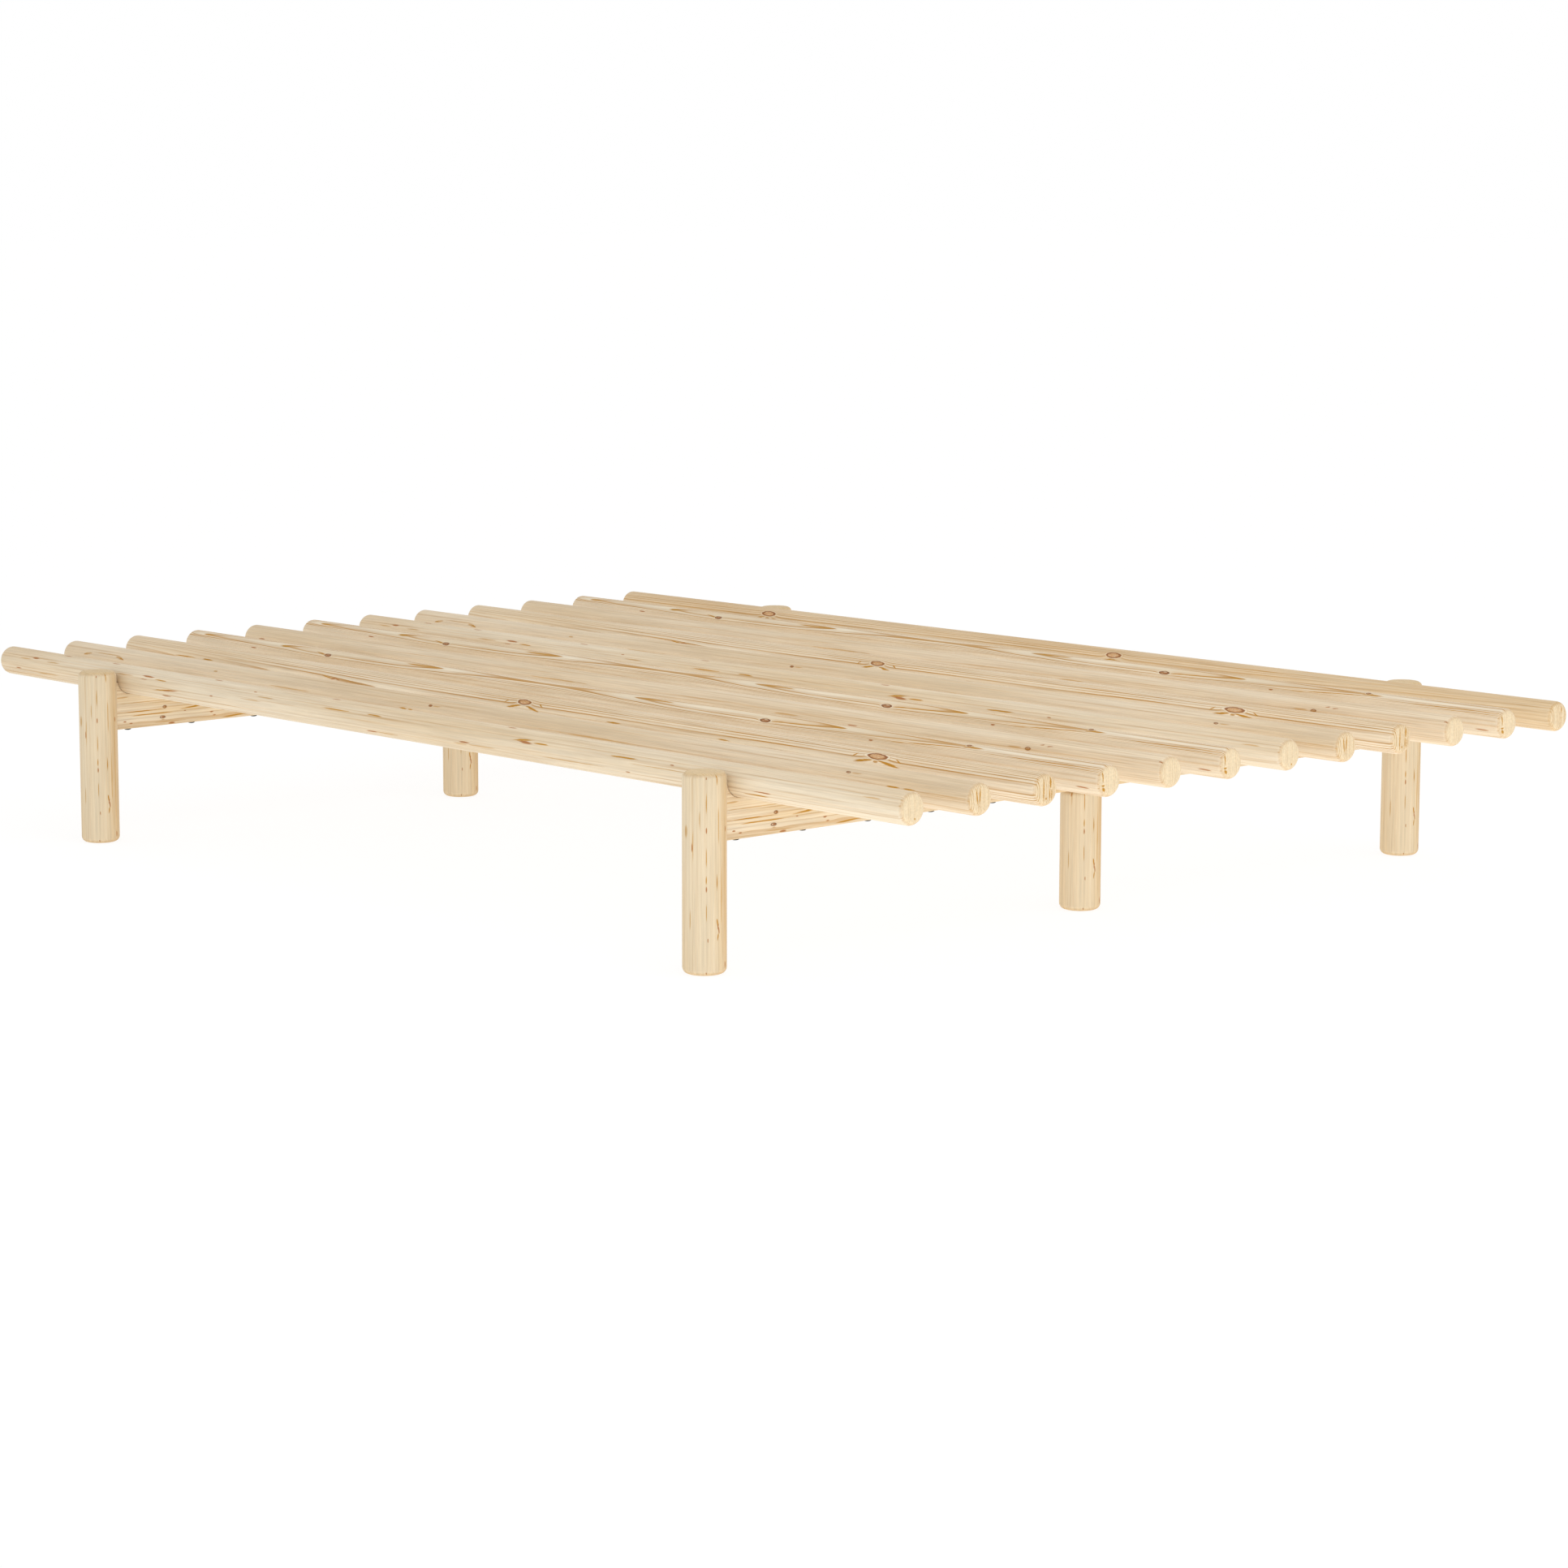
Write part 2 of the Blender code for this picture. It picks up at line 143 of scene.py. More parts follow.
def turned_mesh(name, profile, segments, start=0.0):
    """Turns (x, radius) points about X. A radius of zero gives a single point."""
    bm = bmesh.new()
    rings = []
    for x, radius in profile:
        if radius == 0.0:
            rings.append([bm.verts.new((x, 0.0, 0.0))])
            continue
        ring = []
        for step in range(segments):
            angle = start + 2 * math.pi * step / segments
            ring.append(bm.verts.new((x, -radius * math.cos(angle), radius * math.sin(angle))))
        rings.append(ring)
    for one, two in zip(rings, rings[1:]):
        for step in range(segments):
            after = (step + 1) % segments
            if len(one) == 1:
                bm.faces.new((one[0], two[after], two[step]))
            elif len(two) == 1:
                bm.faces.new((one[step], one[after], two[0]))
            else:
                bm.faces.new((one[step], one[after], two[after], two[step]))
    bmesh.ops.recalc_face_normals(bm, faces=bm.faces)
    return as_mesh(bm, name)


def end_profile(radius, end_round, end_x):
    """Profile from the middle of a rod's end face to where its rounded rim meets the body."""
    profile = [(end_x, 0.0), (end_x, (radius - end_round) * END_RING_SHARE)]
    for step in range(ARC_STEPS + 1):
        angle = math.pi / 2 * step / ARC_STEPS
        rise = end_round * (1 - math.cos(angle))
        inset = end_round * (1 - math.sin(angle))
        profile.append((end_x + rise, radius - inset))
    return profile


def rod_mesh(name, low, high, radius, end_round):
    """Rod along X from low to high with rounded ends."""
    first = end_profile(radius, end_round, low)
    last = [(low + high - x, reach) for x, reach in reversed(first)]
    rings = int((high - low) / BODY_STEP)
    body = [(low + (high - low) * step / rings, radius) for step in range(1, rings)]
    return turned_mesh(name, first + body + last, ROUND_SEGMENTS)


def bore(radius, start, end, turn=None, shift=(0.0, 0.0, 0.0), segments=FITTING_SEGMENTS):
    """Round cutter along X from start to end, then turned and then shifted."""
    profile = [(start, 0.0), (start, radius), (end, radius), (end, 0.0)]
    mesh = turned_mesh("bore", profile, segments, CUTTER_TWIST)
    if turn:
        mesh.transform(turn)
    mesh.transform(Matrix.Translation(shift))
    return mesh


def block(low, high):
    """Box from one corner to the other."""
    bm = bmesh.new()
    bmesh.ops.create_cube(bm, size=1.0)
    bmesh.ops.scale(bm, vec=Vector(high) - Vector(low), verts=bm.verts)
    bmesh.ops.translate(bm, vec=(Vector(high) + Vector(low)) / 2, verts=bm.verts)
    return as_mesh(bm, "block")


def joined(meshes):
    """Joins meshes into a new one and removes them."""
    bm = bmesh.new()
    for mesh in meshes:
        bm.from_mesh(mesh)
        bpy.data.meshes.remove(mesh)
    return as_mesh(bm, "cutters")


def carve(mesh, groups):
    """Cuts each group of cutters out of the mesh and gives the carved mesh."""
    body = add_object("blank", mesh)
    tools = []
    for group in groups:
        tool = add_object("tool", joined(group))
        cut = body.modifiers.new("cut", "BOOLEAN")
        cut.operation = "DIFFERENCE"
        cut.solver = "EXACT"
        cut.object = tool
        tools.append(tool)
    depsgraph = bpy.context.evaluated_depsgraph_get()
    carved = bpy.data.meshes.new_from_object(body.evaluated_get(depsgraph))
    carved.name = mesh.name
    for thing in [body, *tools]:
        bpy.data.objects.remove(thing, do_unlink=True)
    return carved


def smooth(mesh):
    """Shades the mesh smooth, apart from edges that bend by more than SMOOTH_BELOW."""
    mesh.shade_smooth()
    mesh.set_sharp_from_angle(angle=SMOOTH_BELOW)
    return mesh


# Turns that take X up, and X to Y
UP = Matrix.Rotation(-math.pi / 2, 4, "Y")
ACROSS = Matrix.Rotation(math.pi / 2, 4, "Z")


# Poles, along X

def pole_places():
    """Y of each pole's axis, from the front to the rear."""
    pitch = 2 * OUTER_POLE_Y / (POLE_COUNT - 1)
    return [-OUTER_POLE_Y + index * pitch for index in range(POLE_COUNT)]


def pole_mesh():
    """Pole with its two screw bores, which come up from below."""
    rod = rod_mesh("pole", -POLE_LENGTH / 2, POLE_LENGTH / 2, POLE_RADIUS, POLE_END_ROUND)
    holes = []
    for _, x in SIDES:
        holes.append(bore(SCREW_RADIUS + GAP, -POLE_RADIUS - OVERRUN, POLE_BORE_TOP, UP, (x, 0.0, 0.0)))
    return smooth(carve(rod, [holes]))


# Cross beams, along their own X, which is the frame's Y

def beam_outline():
    """Side view as (x, z) points, anticlockwise from the front bottom corner."""
    points = [(-BEAM_HALF_LENGTH, 0.0), (BEAM_HALF_LENGTH, 0.0), (BEAM_HALF_LENGTH, BEAM_DEPTH)]
    axis = BEAM_DEPTH - SADDLE_DEPTH + SADDLE_RADIUS
    rim = math.acos((SADDLE_RADIUS - SADDLE_DEPTH) / SADDLE_RADIUS)
    for centre in reversed(pole_places()):
        for step in range(SADDLE_STEPS, -1, -1):
            angle = rim * (2 * step / SADDLE_STEPS - 1)
            x = centre + SADDLE_RADIUS * math.sin(angle)
            points.append((x, axis - SADDLE_RADIUS * math.cos(angle)))
    points.append((-BEAM_HALF_LENGTH, BEAM_DEPTH))
    return points


def beam_blank():
    """The side view made as thick as the beam, with its long edges eased."""
    bm = bmesh.new()
    corners = [bm.verts.new((x, -BEAM_THICKNESS / 2, z)) for x, z in beam_outline()]
    face = bm.faces.new(corners)
    grown = bmesh.ops.extrude_face_region(bm, geom=[face])
    moved = [part for part in grown["geom"] if isinstance(part, bmesh.types.BMVert)]
    bmesh.ops.translate(bm, vec=(0.0, BEAM_THICKNESS, 0.0), verts=moved)
    bmesh.ops.recalc_face_normals(bm, faces=bm.faces)
    rims = [edge for edge in bm.edges if abs(edge.verts[0].co.y - edge.verts[1].co.y) < BEAM_THICKNESS / 2]
    bmesh.ops.bevel(bm, geom=rims, offset=BEAM_EDGE, segments=BEVEL_STEPS, profile=0.5, affect="EDGES")
    return as_mesh(bm, "beam")


def beam_mesh():
    """Beam with holes from below for its screws, barrels and stud, and from its ends for its bolts."""
    upright = [(SCREW_RADIUS, BEAM_DEPTH, x) for x in pole_places()]
    upright += [(BARREL_RADIUS, BARREL_LENGTH + GAP, x) for x in (-BARREL_Y, BARREL_Y)]
    upright.append((STUD_RADIUS, STUD_HALF_LENGTH + GAP, 0.0))
    below = [bore(radius + GAP, -OVERRUN, top, UP, (x, 0.0, 0.0)) for radius, top, x in upright]
    outer = BEAM_HALF_LENGTH + OVERRUN
    level = []
    for start, end in ((-outer, -BARREL_Y), (BARREL_Y, outer)):
        level.append(bore(BOLT_RADIUS + GAP, start, end, shift=(0.0, 0.0, BOLT_HEIGHT)))
    return smooth(carve(beam_blank(), [below, level]))


# Legs, along their own X, which points up. Their own Y is the frame's Y.

def corner_leg_mesh(inward):
    """Corner leg with its housing on the side that faces inward, 1 for +Y and -1 for -Y."""
    rod = rod_mesh("corner_leg", 0.0, LEG_HEIGHT, LEG_RADIUS, LEG_END_ROUND)
    floor = LEG_RADIUS - HOUSING_DEPTH - GAP
    half = BEAM_THICKNESS / 2 + GAP
    low, high = sorted((inward * floor, inward * (LEG_RADIUS + OVERRUN)))
    housing = block(
        (BEAM_UNDERSIDE - GAP, low, -half),
        (BEAM_UNDERSIDE + BEAM_DEPTH + GAP, high, half),
    )
    start, end = sorted((inward * (floor - BOLT_GRIP - GAP), inward * (floor + OVERRUN)))
    hole = bore(BOLT_RADIUS + GAP, start, end, ACROSS, (BEAM_UNDERSIDE + BOLT_HEIGHT, 0.0, 0.0))
    return smooth(carve(rod, [[housing], [hole]]))


def centre_leg_mesh():
    """Centre leg with the stud's hole in its top."""
    rod = rod_mesh("centre_leg", 0.0, CENTRE_LEG_HEIGHT, LEG_RADIUS, LEG_END_ROUND)
    foot = BEAM_UNDERSIDE - STUD_HALF_LENGTH - GAP
    hole = bore(STUD_RADIUS + GAP, foot, CENTRE_LEG_HEIGHT + OVERRUN)
    return smooth(carve(rod, [[hole]]))


# Screws and barrels, along their own X, which points up

def screw_mesh():
    """Dome-headed screw with a six-sided socket and a threaded end. Its head's seat is at zero."""
    profile = [(-SCREW_HEAD_HEIGHT, 0.0)]
    dome = SCREW_HEAD_HEIGHT - SCREW_HEAD_RIM
    for step in range(1, ARC_STEPS + 1):
        angle = math.pi / 2 * step / ARC_STEPS
        profile.append((-SCREW_HEAD_RIM - dome * math.cos(angle), SCREW_HEAD_RADIUS * math.sin(angle)))
    first_turn = SCREW_LENGTH - THREADED
    profile += [(-SEAT_EDGE_HEIGHT, SCREW_HEAD_RADIUS), (0.0, SCREW_HEAD_RADIUS * SEAT_EDGE_SHARE)]
    profile += [(0.0, SCREW_RADIUS), (first_turn, SCREW_RADIUS)]
    turns = int(THREADED / THREAD_PITCH) - TIP_PITCHES
    for index in range(turns):
        x = first_turn + THREAD_PITCH * (index + 0.5)
        profile.append((x, SCREW_RADIUS - THREAD_DEPTH))
        profile.append((x + THREAD_PITCH / 2, SCREW_RADIUS))
    profile.append((SCREW_LENGTH, 0.0))
    screw = turned_mesh("pole_screw", profile, FITTING_SEGMENTS)
    floor = SOCKET_DEPTH - SCREW_HEAD_HEIGHT
    socket = bore(SOCKET_RADIUS, -SCREW_HEAD_HEIGHT - OVERRUN, floor, segments=SOCKET_SIDES)
    return smooth(carve(screw, [[socket]]))


def barrel_mesh():
    """Cam barrel with chamfered ends, a driver slot in its foot and the bolt's cross hole."""
    profile = [
        (0.0, 0.0),
        (0.0, BARREL_RADIUS - BARREL_EDGE),
        (BARREL_EDGE, BARREL_RADIUS),
        (BARREL_LENGTH - BARREL_EDGE, BARREL_RADIUS),
        (BARREL_LENGTH, BARREL_RADIUS - BARREL_EDGE),
        (BARREL_LENGTH, 0.0),
    ]
    barrel = turned_mesh("cam_barrel", profile, FITTING_SEGMENTS)
    reach = BARREL_RADIUS + OVERRUN
    slot = block((-OVERRUN, -SLOT_WIDTH / 2, -reach), (SLOT_DEPTH, SLOT_WIDTH / 2, reach))
    hole = bore(BOLT_RADIUS + GAP, -reach, reach, ACROSS, (BOLT_HEIGHT, 0.0, 0.0))
    return smooth(carve(barrel, [[slot], [hole]]))


# Node trees

# Places of the colour sockets on a mix node
MIX_SHARE = 0
MIX_ONE = 6
MIX_TWO = 7
MIX_RESULT = 2

# How far each step of a noise's seed moves its pattern
NOISE_SHIFT = (71.3, 13.7, 5.1)


class Graph:
    """Short ways to add nodes. A value is a number, a tuple or another node's output."""

    def __init__(self, tree):
        self.tree = tree

    def add(self, kind, values, **settings):
        """Adds a node with its settings, and sets or links its inputs."""
        node = self.tree.nodes.new(kind)
        for name, value in settings.items():
            setattr(node, name, value)
        for key, value in values.items():
            socket = node.inputs[key]
            if isinstance(value, bpy.types.NodeSocket):
                self.tree.links.new(value, socket)
            else:
                socket.default_value = value
        return node

    def math(self, operation, *values):
        return self.add("ShaderNodeMath", dict(enumerate(values)), operation=operation).outputs[0]

    def coordinates(self, kind):
        return self.add("ShaderNodeTexCoord", {}).outputs[kind]

    def axis(self, vector, name):
        return self.add("ShaderNodeSeparateXYZ", {"Vector": vector}).outputs[name]

    def scaled(self, vector, place, scale):
        """(vector - place) * scale, axis by axis."""
        move = tuple(-p * s for p, s in zip(place, scale))
        values = {"Vector": vector, "Location": move, "Scale": scale}
        return self.add("ShaderNodeMapping", values).outputs[0]

    def from_mark(self, vector, place, size, turned):
        """Distance from a mark's middle, where one is its edge. A mark has its own size and turn."""
        values = {"Vector": vector, "Location": place, "Rotation": turned, "Scale": size}
        return self.length(self.add("ShaderNodeMapping", values, vector_type="TEXTURE").outputs[0])

    def onto_round(self, vector, radius):
        """The vector's direction at a fixed distance, so that lines run straight over a rounded rim."""
        way = self.add("ShaderNodeVectorMath", {0: vector}, operation="NORMALIZE").outputs["Vector"]
        values = {0: way, "Scale": radius}
        return self.add("ShaderNodeVectorMath", values, operation="SCALE").outputs["Vector"]

    def length(self, vector):
        return self.add("ShaderNodeVectorMath", {0: vector}, operation="LENGTH").outputs["Value"]

    def ease(self, value, low, high, start=0.0, end=1.0):
        """Smooth step from start to end as the value goes from low to high."""
        values = {"Value": value, "From Min": low, "From Max": high, "To Min": start, "To Max": end}
        return self.add("ShaderNodeMapRange", values, interpolation_type="SMOOTHSTEP").outputs["Result"]

    def noise(self, vector, scale, seed, detail=2.0, roughness=0.5):
        """Noise with its own scale along each axis, in repeats a millimetre."""
        shift = tuple(seed * amount for amount in NOISE_SHIFT)
        values = {"Vector": vector, "Location": shift, "Scale": scale}
        moved = self.add("ShaderNodeMapping", values).outputs[0]
        values = {"Vector": moved, "Scale": 1.0, "Detail": detail, "Roughness": roughness}
        return self.add("ShaderNodeTexNoise", values).outputs[0]

    def noise_along(self, value):
        """Noise with one value for each number, smooth from one to the next."""
        return self.add("ShaderNodeTexNoise", {"W": value}, noise_dimensions="1D").outputs[0]

    def chance(self, value):
        """A number from zero to one for each value, with no likeness between neighbours."""
        return self.add("ShaderNodeTexWhiteNoise", {"W": value}, noise_dimensions="1D").outputs["Value"]

    def mix(self, share, one, two, blend="MIX"):
        """Mix of two colours."""
        values = {MIX_SHARE: share, MIX_ONE: one, MIX_TWO: two}
        node = self.add("ShaderNodeMix", values, data_type="RGBA", blend_type=blend)
        return node.outputs[MIX_RESULT]

    def curve(self, value, points, low, high):
        """A curve through (x, y) points, x in the value's own unit, y between low and high."""
        first, last = points[0][0], points[-1][0]
        values = {"Value": value, "From Min": first, "From Max": last}
        share = self.add("ShaderNodeMapRange", values).outputs[0]
        node = self.add("ShaderNodeFloatCurve", {"Value": share})
        line = node.mapping.curves[0]
        while len(line.points) < len(points):
            line.points.new(0.5, 0.5)
        for point, (x, y) in zip(line.points, points):
            point.location = ((x - first) / (last - first), (y - low) / (high - low))
        node.mapping.update()
        return self.math("MULTIPLY_ADD", node.outputs[0], high - low, low)


def rgb(red, green, blue):
    """Linear colour from the 0 to 255 values that it shows as on a screen."""
    linear = []
    for value in (red, green, blue):
        share = value / 255
        linear.append(share / 12.92 if share <= 0.04045 else ((share + 0.055) / 1.055) ** 2.4)
    return (*linear, 1.0)


# Pine. Its colours, strengths and the limits of its smooth steps are given one by one.

PALE = rgb(236, 222, 197)
TAN = rgb(227, 207, 175)
GREY = rgb(225, 209, 185)
LATE = rgb(184, 131, 45)
KNOT = rgb(214, 168, 120)
KNOT_DARK = rgb(164, 106, 58)
KNOT_RIM = rgb(144, 88, 44)
DARK_RIM = rgb(120, 72, 34)
DASH = rgb(172, 106, 46)
# Colour of resin streaks, and of the golden painted shade in bands and on the ends' rounded rims
STREAK_AND_SHADE = rgb(190, 137, 46)
END_PALE = rgb(232, 213, 179)

# Waves in the growth lines: repeats a millimetre along the grain, and height in millimetres
WAVES = ((0.0035, 1.1), (0.016, 0.35), (0.06, 0.08))
WAVES_ACROSS = 12
RING_RHYTHM = 0.7
RING_SEED = 3.7

# How far round a knot the growth lines are lifted, as shares of the knot's size
LIFT_ALONG = 1.2
LIFT_ACROSS = 1.8

# Late wood in a ring that starts at zero and ends at one, and the rings over which lines fade
SLOW_RISE = (0.1, 0.6)
SLOW_SHARE = 0.25
DARKEST = 0.88
SHARP_FALL = (0.94, 1.0)
FADING_RINGS = (3.0, 9.0)

# Zones of knots and strokes, as distances from their middle where one is the edge
KNOT_BODY = (0.6, 0.84)
KNOT_EDGE = (0.96, 1.12)
KNOT_GAP = (1.1, 1.6)
HALO_INNER = (1.2, 1.32)
HALO_OUTER = (1.34, 1.46)
HALO_SHARE = 0.28
KNOT_RAGGED = 0.5
STROKE_EDGE = (0.55, 1.05)
STROKE_RAGGED = 1.5

# End faces: how far the surface must face outward, the painted shade on their rounded rims, and their
# growth lines
END_FACING = (0.6, 0.85)
SHADED_RIM_INNER = (0.3, 0.6)
SHADED_RIM_OUTER = (0.7, 0.9)
SHADED_RIM_SHARE = 0.22
END_LINES_PER_MM = 0.4
END_LINES_BEND = 3.0
END_RISE = (0.35, 0.95)
FAINTEST_END_LINE = 0.25


def start_material(name):
    """A new material with its graph and shader, and the place on the piece in millimetres."""
    material = bpy.data.materials.new(name)
    material.use_nodes = True
    g = Graph(material.node_tree)
    place = g.scaled(g.coordinates("Object"), (0.0, 0.0, 0.0), (1 / MM, 1 / MM, 1 / MM))
    return material, g, g.tree.nodes["Principled BSDF"], place


def join_shader(g, shader, colour, rough, height, bump_strength, bump_metres):
    """Gives a shader its colour, its roughness and a bump."""
    values = {"Strength": bump_strength, "Distance": bump_metres, "Height": height}
    bump = g.add("ShaderNodeBump", values)
    g.tree.links.new(colour, shader.inputs["Base Color"])
    g.tree.links.new(rough, shader.inputs["Roughness"])
    g.tree.links.new(bump.outputs["Normal"], shader.inputs["Normal"])


def growth(g, place, x, wood):
    """Distance across the growth rings, in rings, from the line where the surface just touches one."""
    turn = math.radians(wood["ridge"])
    radius, pith = wood["radius"], wood["pith"]
    centre = (0.0, -pith * math.cos(turn), pith * math.sin(turn))
    section = g.scaled(place, (0.0, 0.0, 0.0), (0.0, 1.0, 1.0))
    if wood["round"]:
        section = g.onto_round(section, radius)
    depth = g.math("SUBTRACT", g.length(g.scaled(section, centre, (0.0, 1.0, 1.0))), pith - radius)
    drift = wood["drift"]
    heights = [height for _, height in drift]
    depth = g.math("SUBTRACT", depth, g.curve(x, drift, min(heights) - 1, max(heights) + 1))
    for scale, amount in WAVES:
        wave = g.noise(place, (scale, scale * WAVES_ACROSS, scale * WAVES_ACROSS), wood["seed"] + scale)
        depth = g.math("MULTIPLY_ADD", g.math("SUBTRACT", wave, 0.5), 2 * amount * wood["wave"], depth)
    for at, size, turned, lift in wood["knots"] + wood["dark_knots"]:
        across = size[1] * LIFT_ACROSS
        near = g.from_mark(place, at, (size[0] * LIFT_ALONG, across, across), turned)
        bump = g.math("EXPONENT", g.math("MULTIPLY", g.math("MULTIPLY", near, near), -1.0))
        depth = g.math("MULTIPLY_ADD", bump, -lift, depth)
    wide, narrow, edge = wood["rings"]
    depth = g.math("ADD", depth, wood["shift"])
    rings = g.math("MULTIPLY", depth, 1 / wide)
    past = g.math("MAXIMUM", g.math("SUBTRACT", depth, edge), 0.0)
    rings = g.math("MULTIPLY_ADD", past, 1 / narrow - 1 / wide, rings)
    uneven = g.noise_along(g.math("MULTIPLY", rings, RING_RHYTHM))
    return g.math("MULTIPLY_ADD", g.math("SUBTRACT", uneven, 0.5), wood["uneven"], rings)


def latewood(g, rings, wood):
    """How dark the late wood is: it darkens slowly through each ring and ends sharply."""
    chance = g.chance(g.math("ADD", g.math("FLOOR", rings), wood["seed"] * RING_SEED))
    low, high = wood["strength"]
    strength = g.math("MULTIPLY_ADD", chance, high - low, low)
    part = g.math("FRACT", rings)
    steep = g.ease(part, wood["onset"], DARKEST, 0.0, 1.0 - SLOW_SHARE)
    rise = g.math("MULTIPLY_ADD", g.ease(part, *SLOW_RISE), SLOW_SHARE, steep)
    fall = g.ease(part, *SHARP_FALL, 1.0, 0.0)
    far = g.ease(rings, *FADING_RINGS, 1.0, wood["deep"])
    return g.math("MULTIPLY", g.math("MULTIPLY", rise, fall), g.math("MULTIPLY", strength, far))


def nearest(g, place, marks, noise, ragged):
    """Distance to the nearest mark, one at its edge, which the noise makes ragged."""
    best = None
    for at, size, turned, _ in marks:
        near = g.from_mark(place, at, size, turned)
        best = near if best is None else g.math("MINIMUM", best, near)
    return g.math("ADD", best, g.math("MULTIPLY_ADD", noise, ragged, -ragged / 2))


def stroked(g, place, colour, strokes, paint, share, seed):
    """Strokes along the grain, such as resin streaks, dark flecks and bands of painted shade. Gives colour
    and strength.
    """
    if not strokes:
        return colour, 0.0
    wisp = g.noise(place, (0.045, 1.3, 1.3), seed, 3.0)
    near = nearest(g, place, strokes, wisp, STROKE_RAGGED)
    strength = g.ease(near, *STROKE_EDGE, share, 0.0)
    return g.mix(strength, colour, paint), strength


def knotted(g, place, colour, late, wood, kind, paint, edge, seed):
    """Knots: a specked body with a dark rim, a gap in the grain round it and a faint halo."""
    if not wood[kind]:
        return colour, late
    wobble = g.noise(place, (0.1, 0.25, 0.25), seed, 3.0)
    near = nearest(g, place, wood[kind], wobble, KNOT_RAGGED)
    late = g.math("MULTIPLY", late, g.ease(near, *KNOT_GAP, 0.15, 1.0))
    halo = g.math("SUBTRACT", g.ease(near, *HALO_INNER), g.ease(near, *HALO_OUTER))
    colour = g.mix(g.math("MULTIPLY", halo, HALO_SHARE), colour, LATE)
    specks = g.noise(place, (0.5, 1.1, 1.1), seed + 1.0, 3.0)
    body = g.mix(g.ease(specks, 0.45, 0.65, 0.0, 0.35), paint, edge)
    pale = g.noise(place, (0.25, 0.7, 0.7), seed + 2.0)
    body = g.mix(g.ease(pale, 0.48, 0.66, 0.0, 0.65), body, TAN)
    body = g.mix(g.ease(near, *KNOT_BODY), body, edge)
    return g.mix(g.ease(near, *KNOT_EDGE, 0.95, 0.0), colour, body), late


def ground_colour(g, place, lined, wood):
    """The wood between its growth lines: broad pale and tan bands with greyer clouds."""
    broad = g.noise(place, (0.0022, 0.028, 0.028), wood["seed"] + 5.0, 3.0)
    ground = g.mix(g.ease(broad, 0.35, 0.7), wood["pale"], wood["tone"])
    ground = g.mix(g.math("SUBTRACT", 1.0, lined), ground, wood["faded"])
    cloud = g.noise(place, (0.006, 0.06, 0.06), wood["seed"] + 7.0, 3.0)
    return g.mix(g.ease(cloud, 0.5, 0.8, 0.0, 0.3), ground, GREY)


def fibre_shade(g, place, fibre, seed):
    """What the fibres lighten and darken the colour by."""
    coarse = g.noise(place, (0.008, 0.35, 0.35), seed + 9.0, 3.0)
    shade = g.math("ADD", g.ease(coarse, 0.3, 0.7, 0.93, 1.05), g.ease(fibre, 0.25, 0.75, -0.06, 0.045))
    return g.add("ShaderNodeCombineXYZ", {"X": shade, "Y": shade, "Z": shade}).outputs[0]


def pine(name, wood):
    """Pine with growth rings, fibre, knots, dark flecks and end grain, as the wood's values say.

    Each noise adds a number of its own to the wood's seed.
    """
    material, g, shader, place = start_material(name)
    seed = wood["seed"]
    x = g.axis(place, "X")

    late = latewood(g, growth(g, place, x, wood), wood)
    fade = g.noise(place, (0.006, 0.05, 0.05), seed + 3.0)
    late = g.math("MULTIPLY", late, g.ease(fade, 0.3, 0.6, 0.7, 1.0))
    lined = g.ease(x, *wood["along"])
    late = g.math("MULTIPLY", late, lined)
    colour = ground_colour(g, place, lined, wood)

    colour, late = knotted(g, place, colour, late, wood, "knots", KNOT, KNOT_RIM, seed + 17.0)
    colour, late = knotted(g, place, colour, late, wood, "dark_knots", KNOT_DARK, DARK_RIM, seed + 27.0)
    streaky = g.noise(place, (0.003, 0.3, 0.3), seed + 8.0, 4.0, 0.6)
    late = g.math("ADD", late, g.ease(streaky, 0.5, 0.76, 0.0, wood["streaky"]))
    colour = g.mix(late, colour, LATE)
    # The first kind of stroke is bands of painted shade: golden shade between the poles, on their brighter
    # right-hand ends and down the legs' right sides
    strokes = (("shade_bands", wood["shade_band_strength"], 14.0), ("wisps", 0.6, 12.0), ("streaks", 1.0, 13.0))
    for kind, share, step in strokes:
        colour, _ = stroked(g, place, colour, wood[kind], STREAK_AND_SHADE, share, seed + step)
    colour, dark = stroked(g, place, colour, wood["dashes"], DASH, 0.9, seed + 15.0)
    colour = end_grain(g, place, colour, wood)

    fibre = g.noise(place, (0.03, 1.3, 1.3), seed + 11.0, 3.0, 0.65)
    colour = g.mix(1.0, colour, fibre_shade(g, place, fibre, seed), "MULTIPLY")
    rough = g.math("MULTIPLY_ADD", late, -0.1, g.math("MULTIPLY_ADD", fibre, 0.22, 0.56))
    height = g.math("MULTIPLY_ADD", late, 0.5, g.math("MULTIPLY", fibre, 0.7))
    height = g.math("MULTIPLY_ADD", dark, -0.3, height)
    join_shader(g, shader, colour, rough, height, bump_strength=0.25, bump_metres=0.0002)
    shader.inputs["Specular IOR Level"].default_value = 0.2
    return material


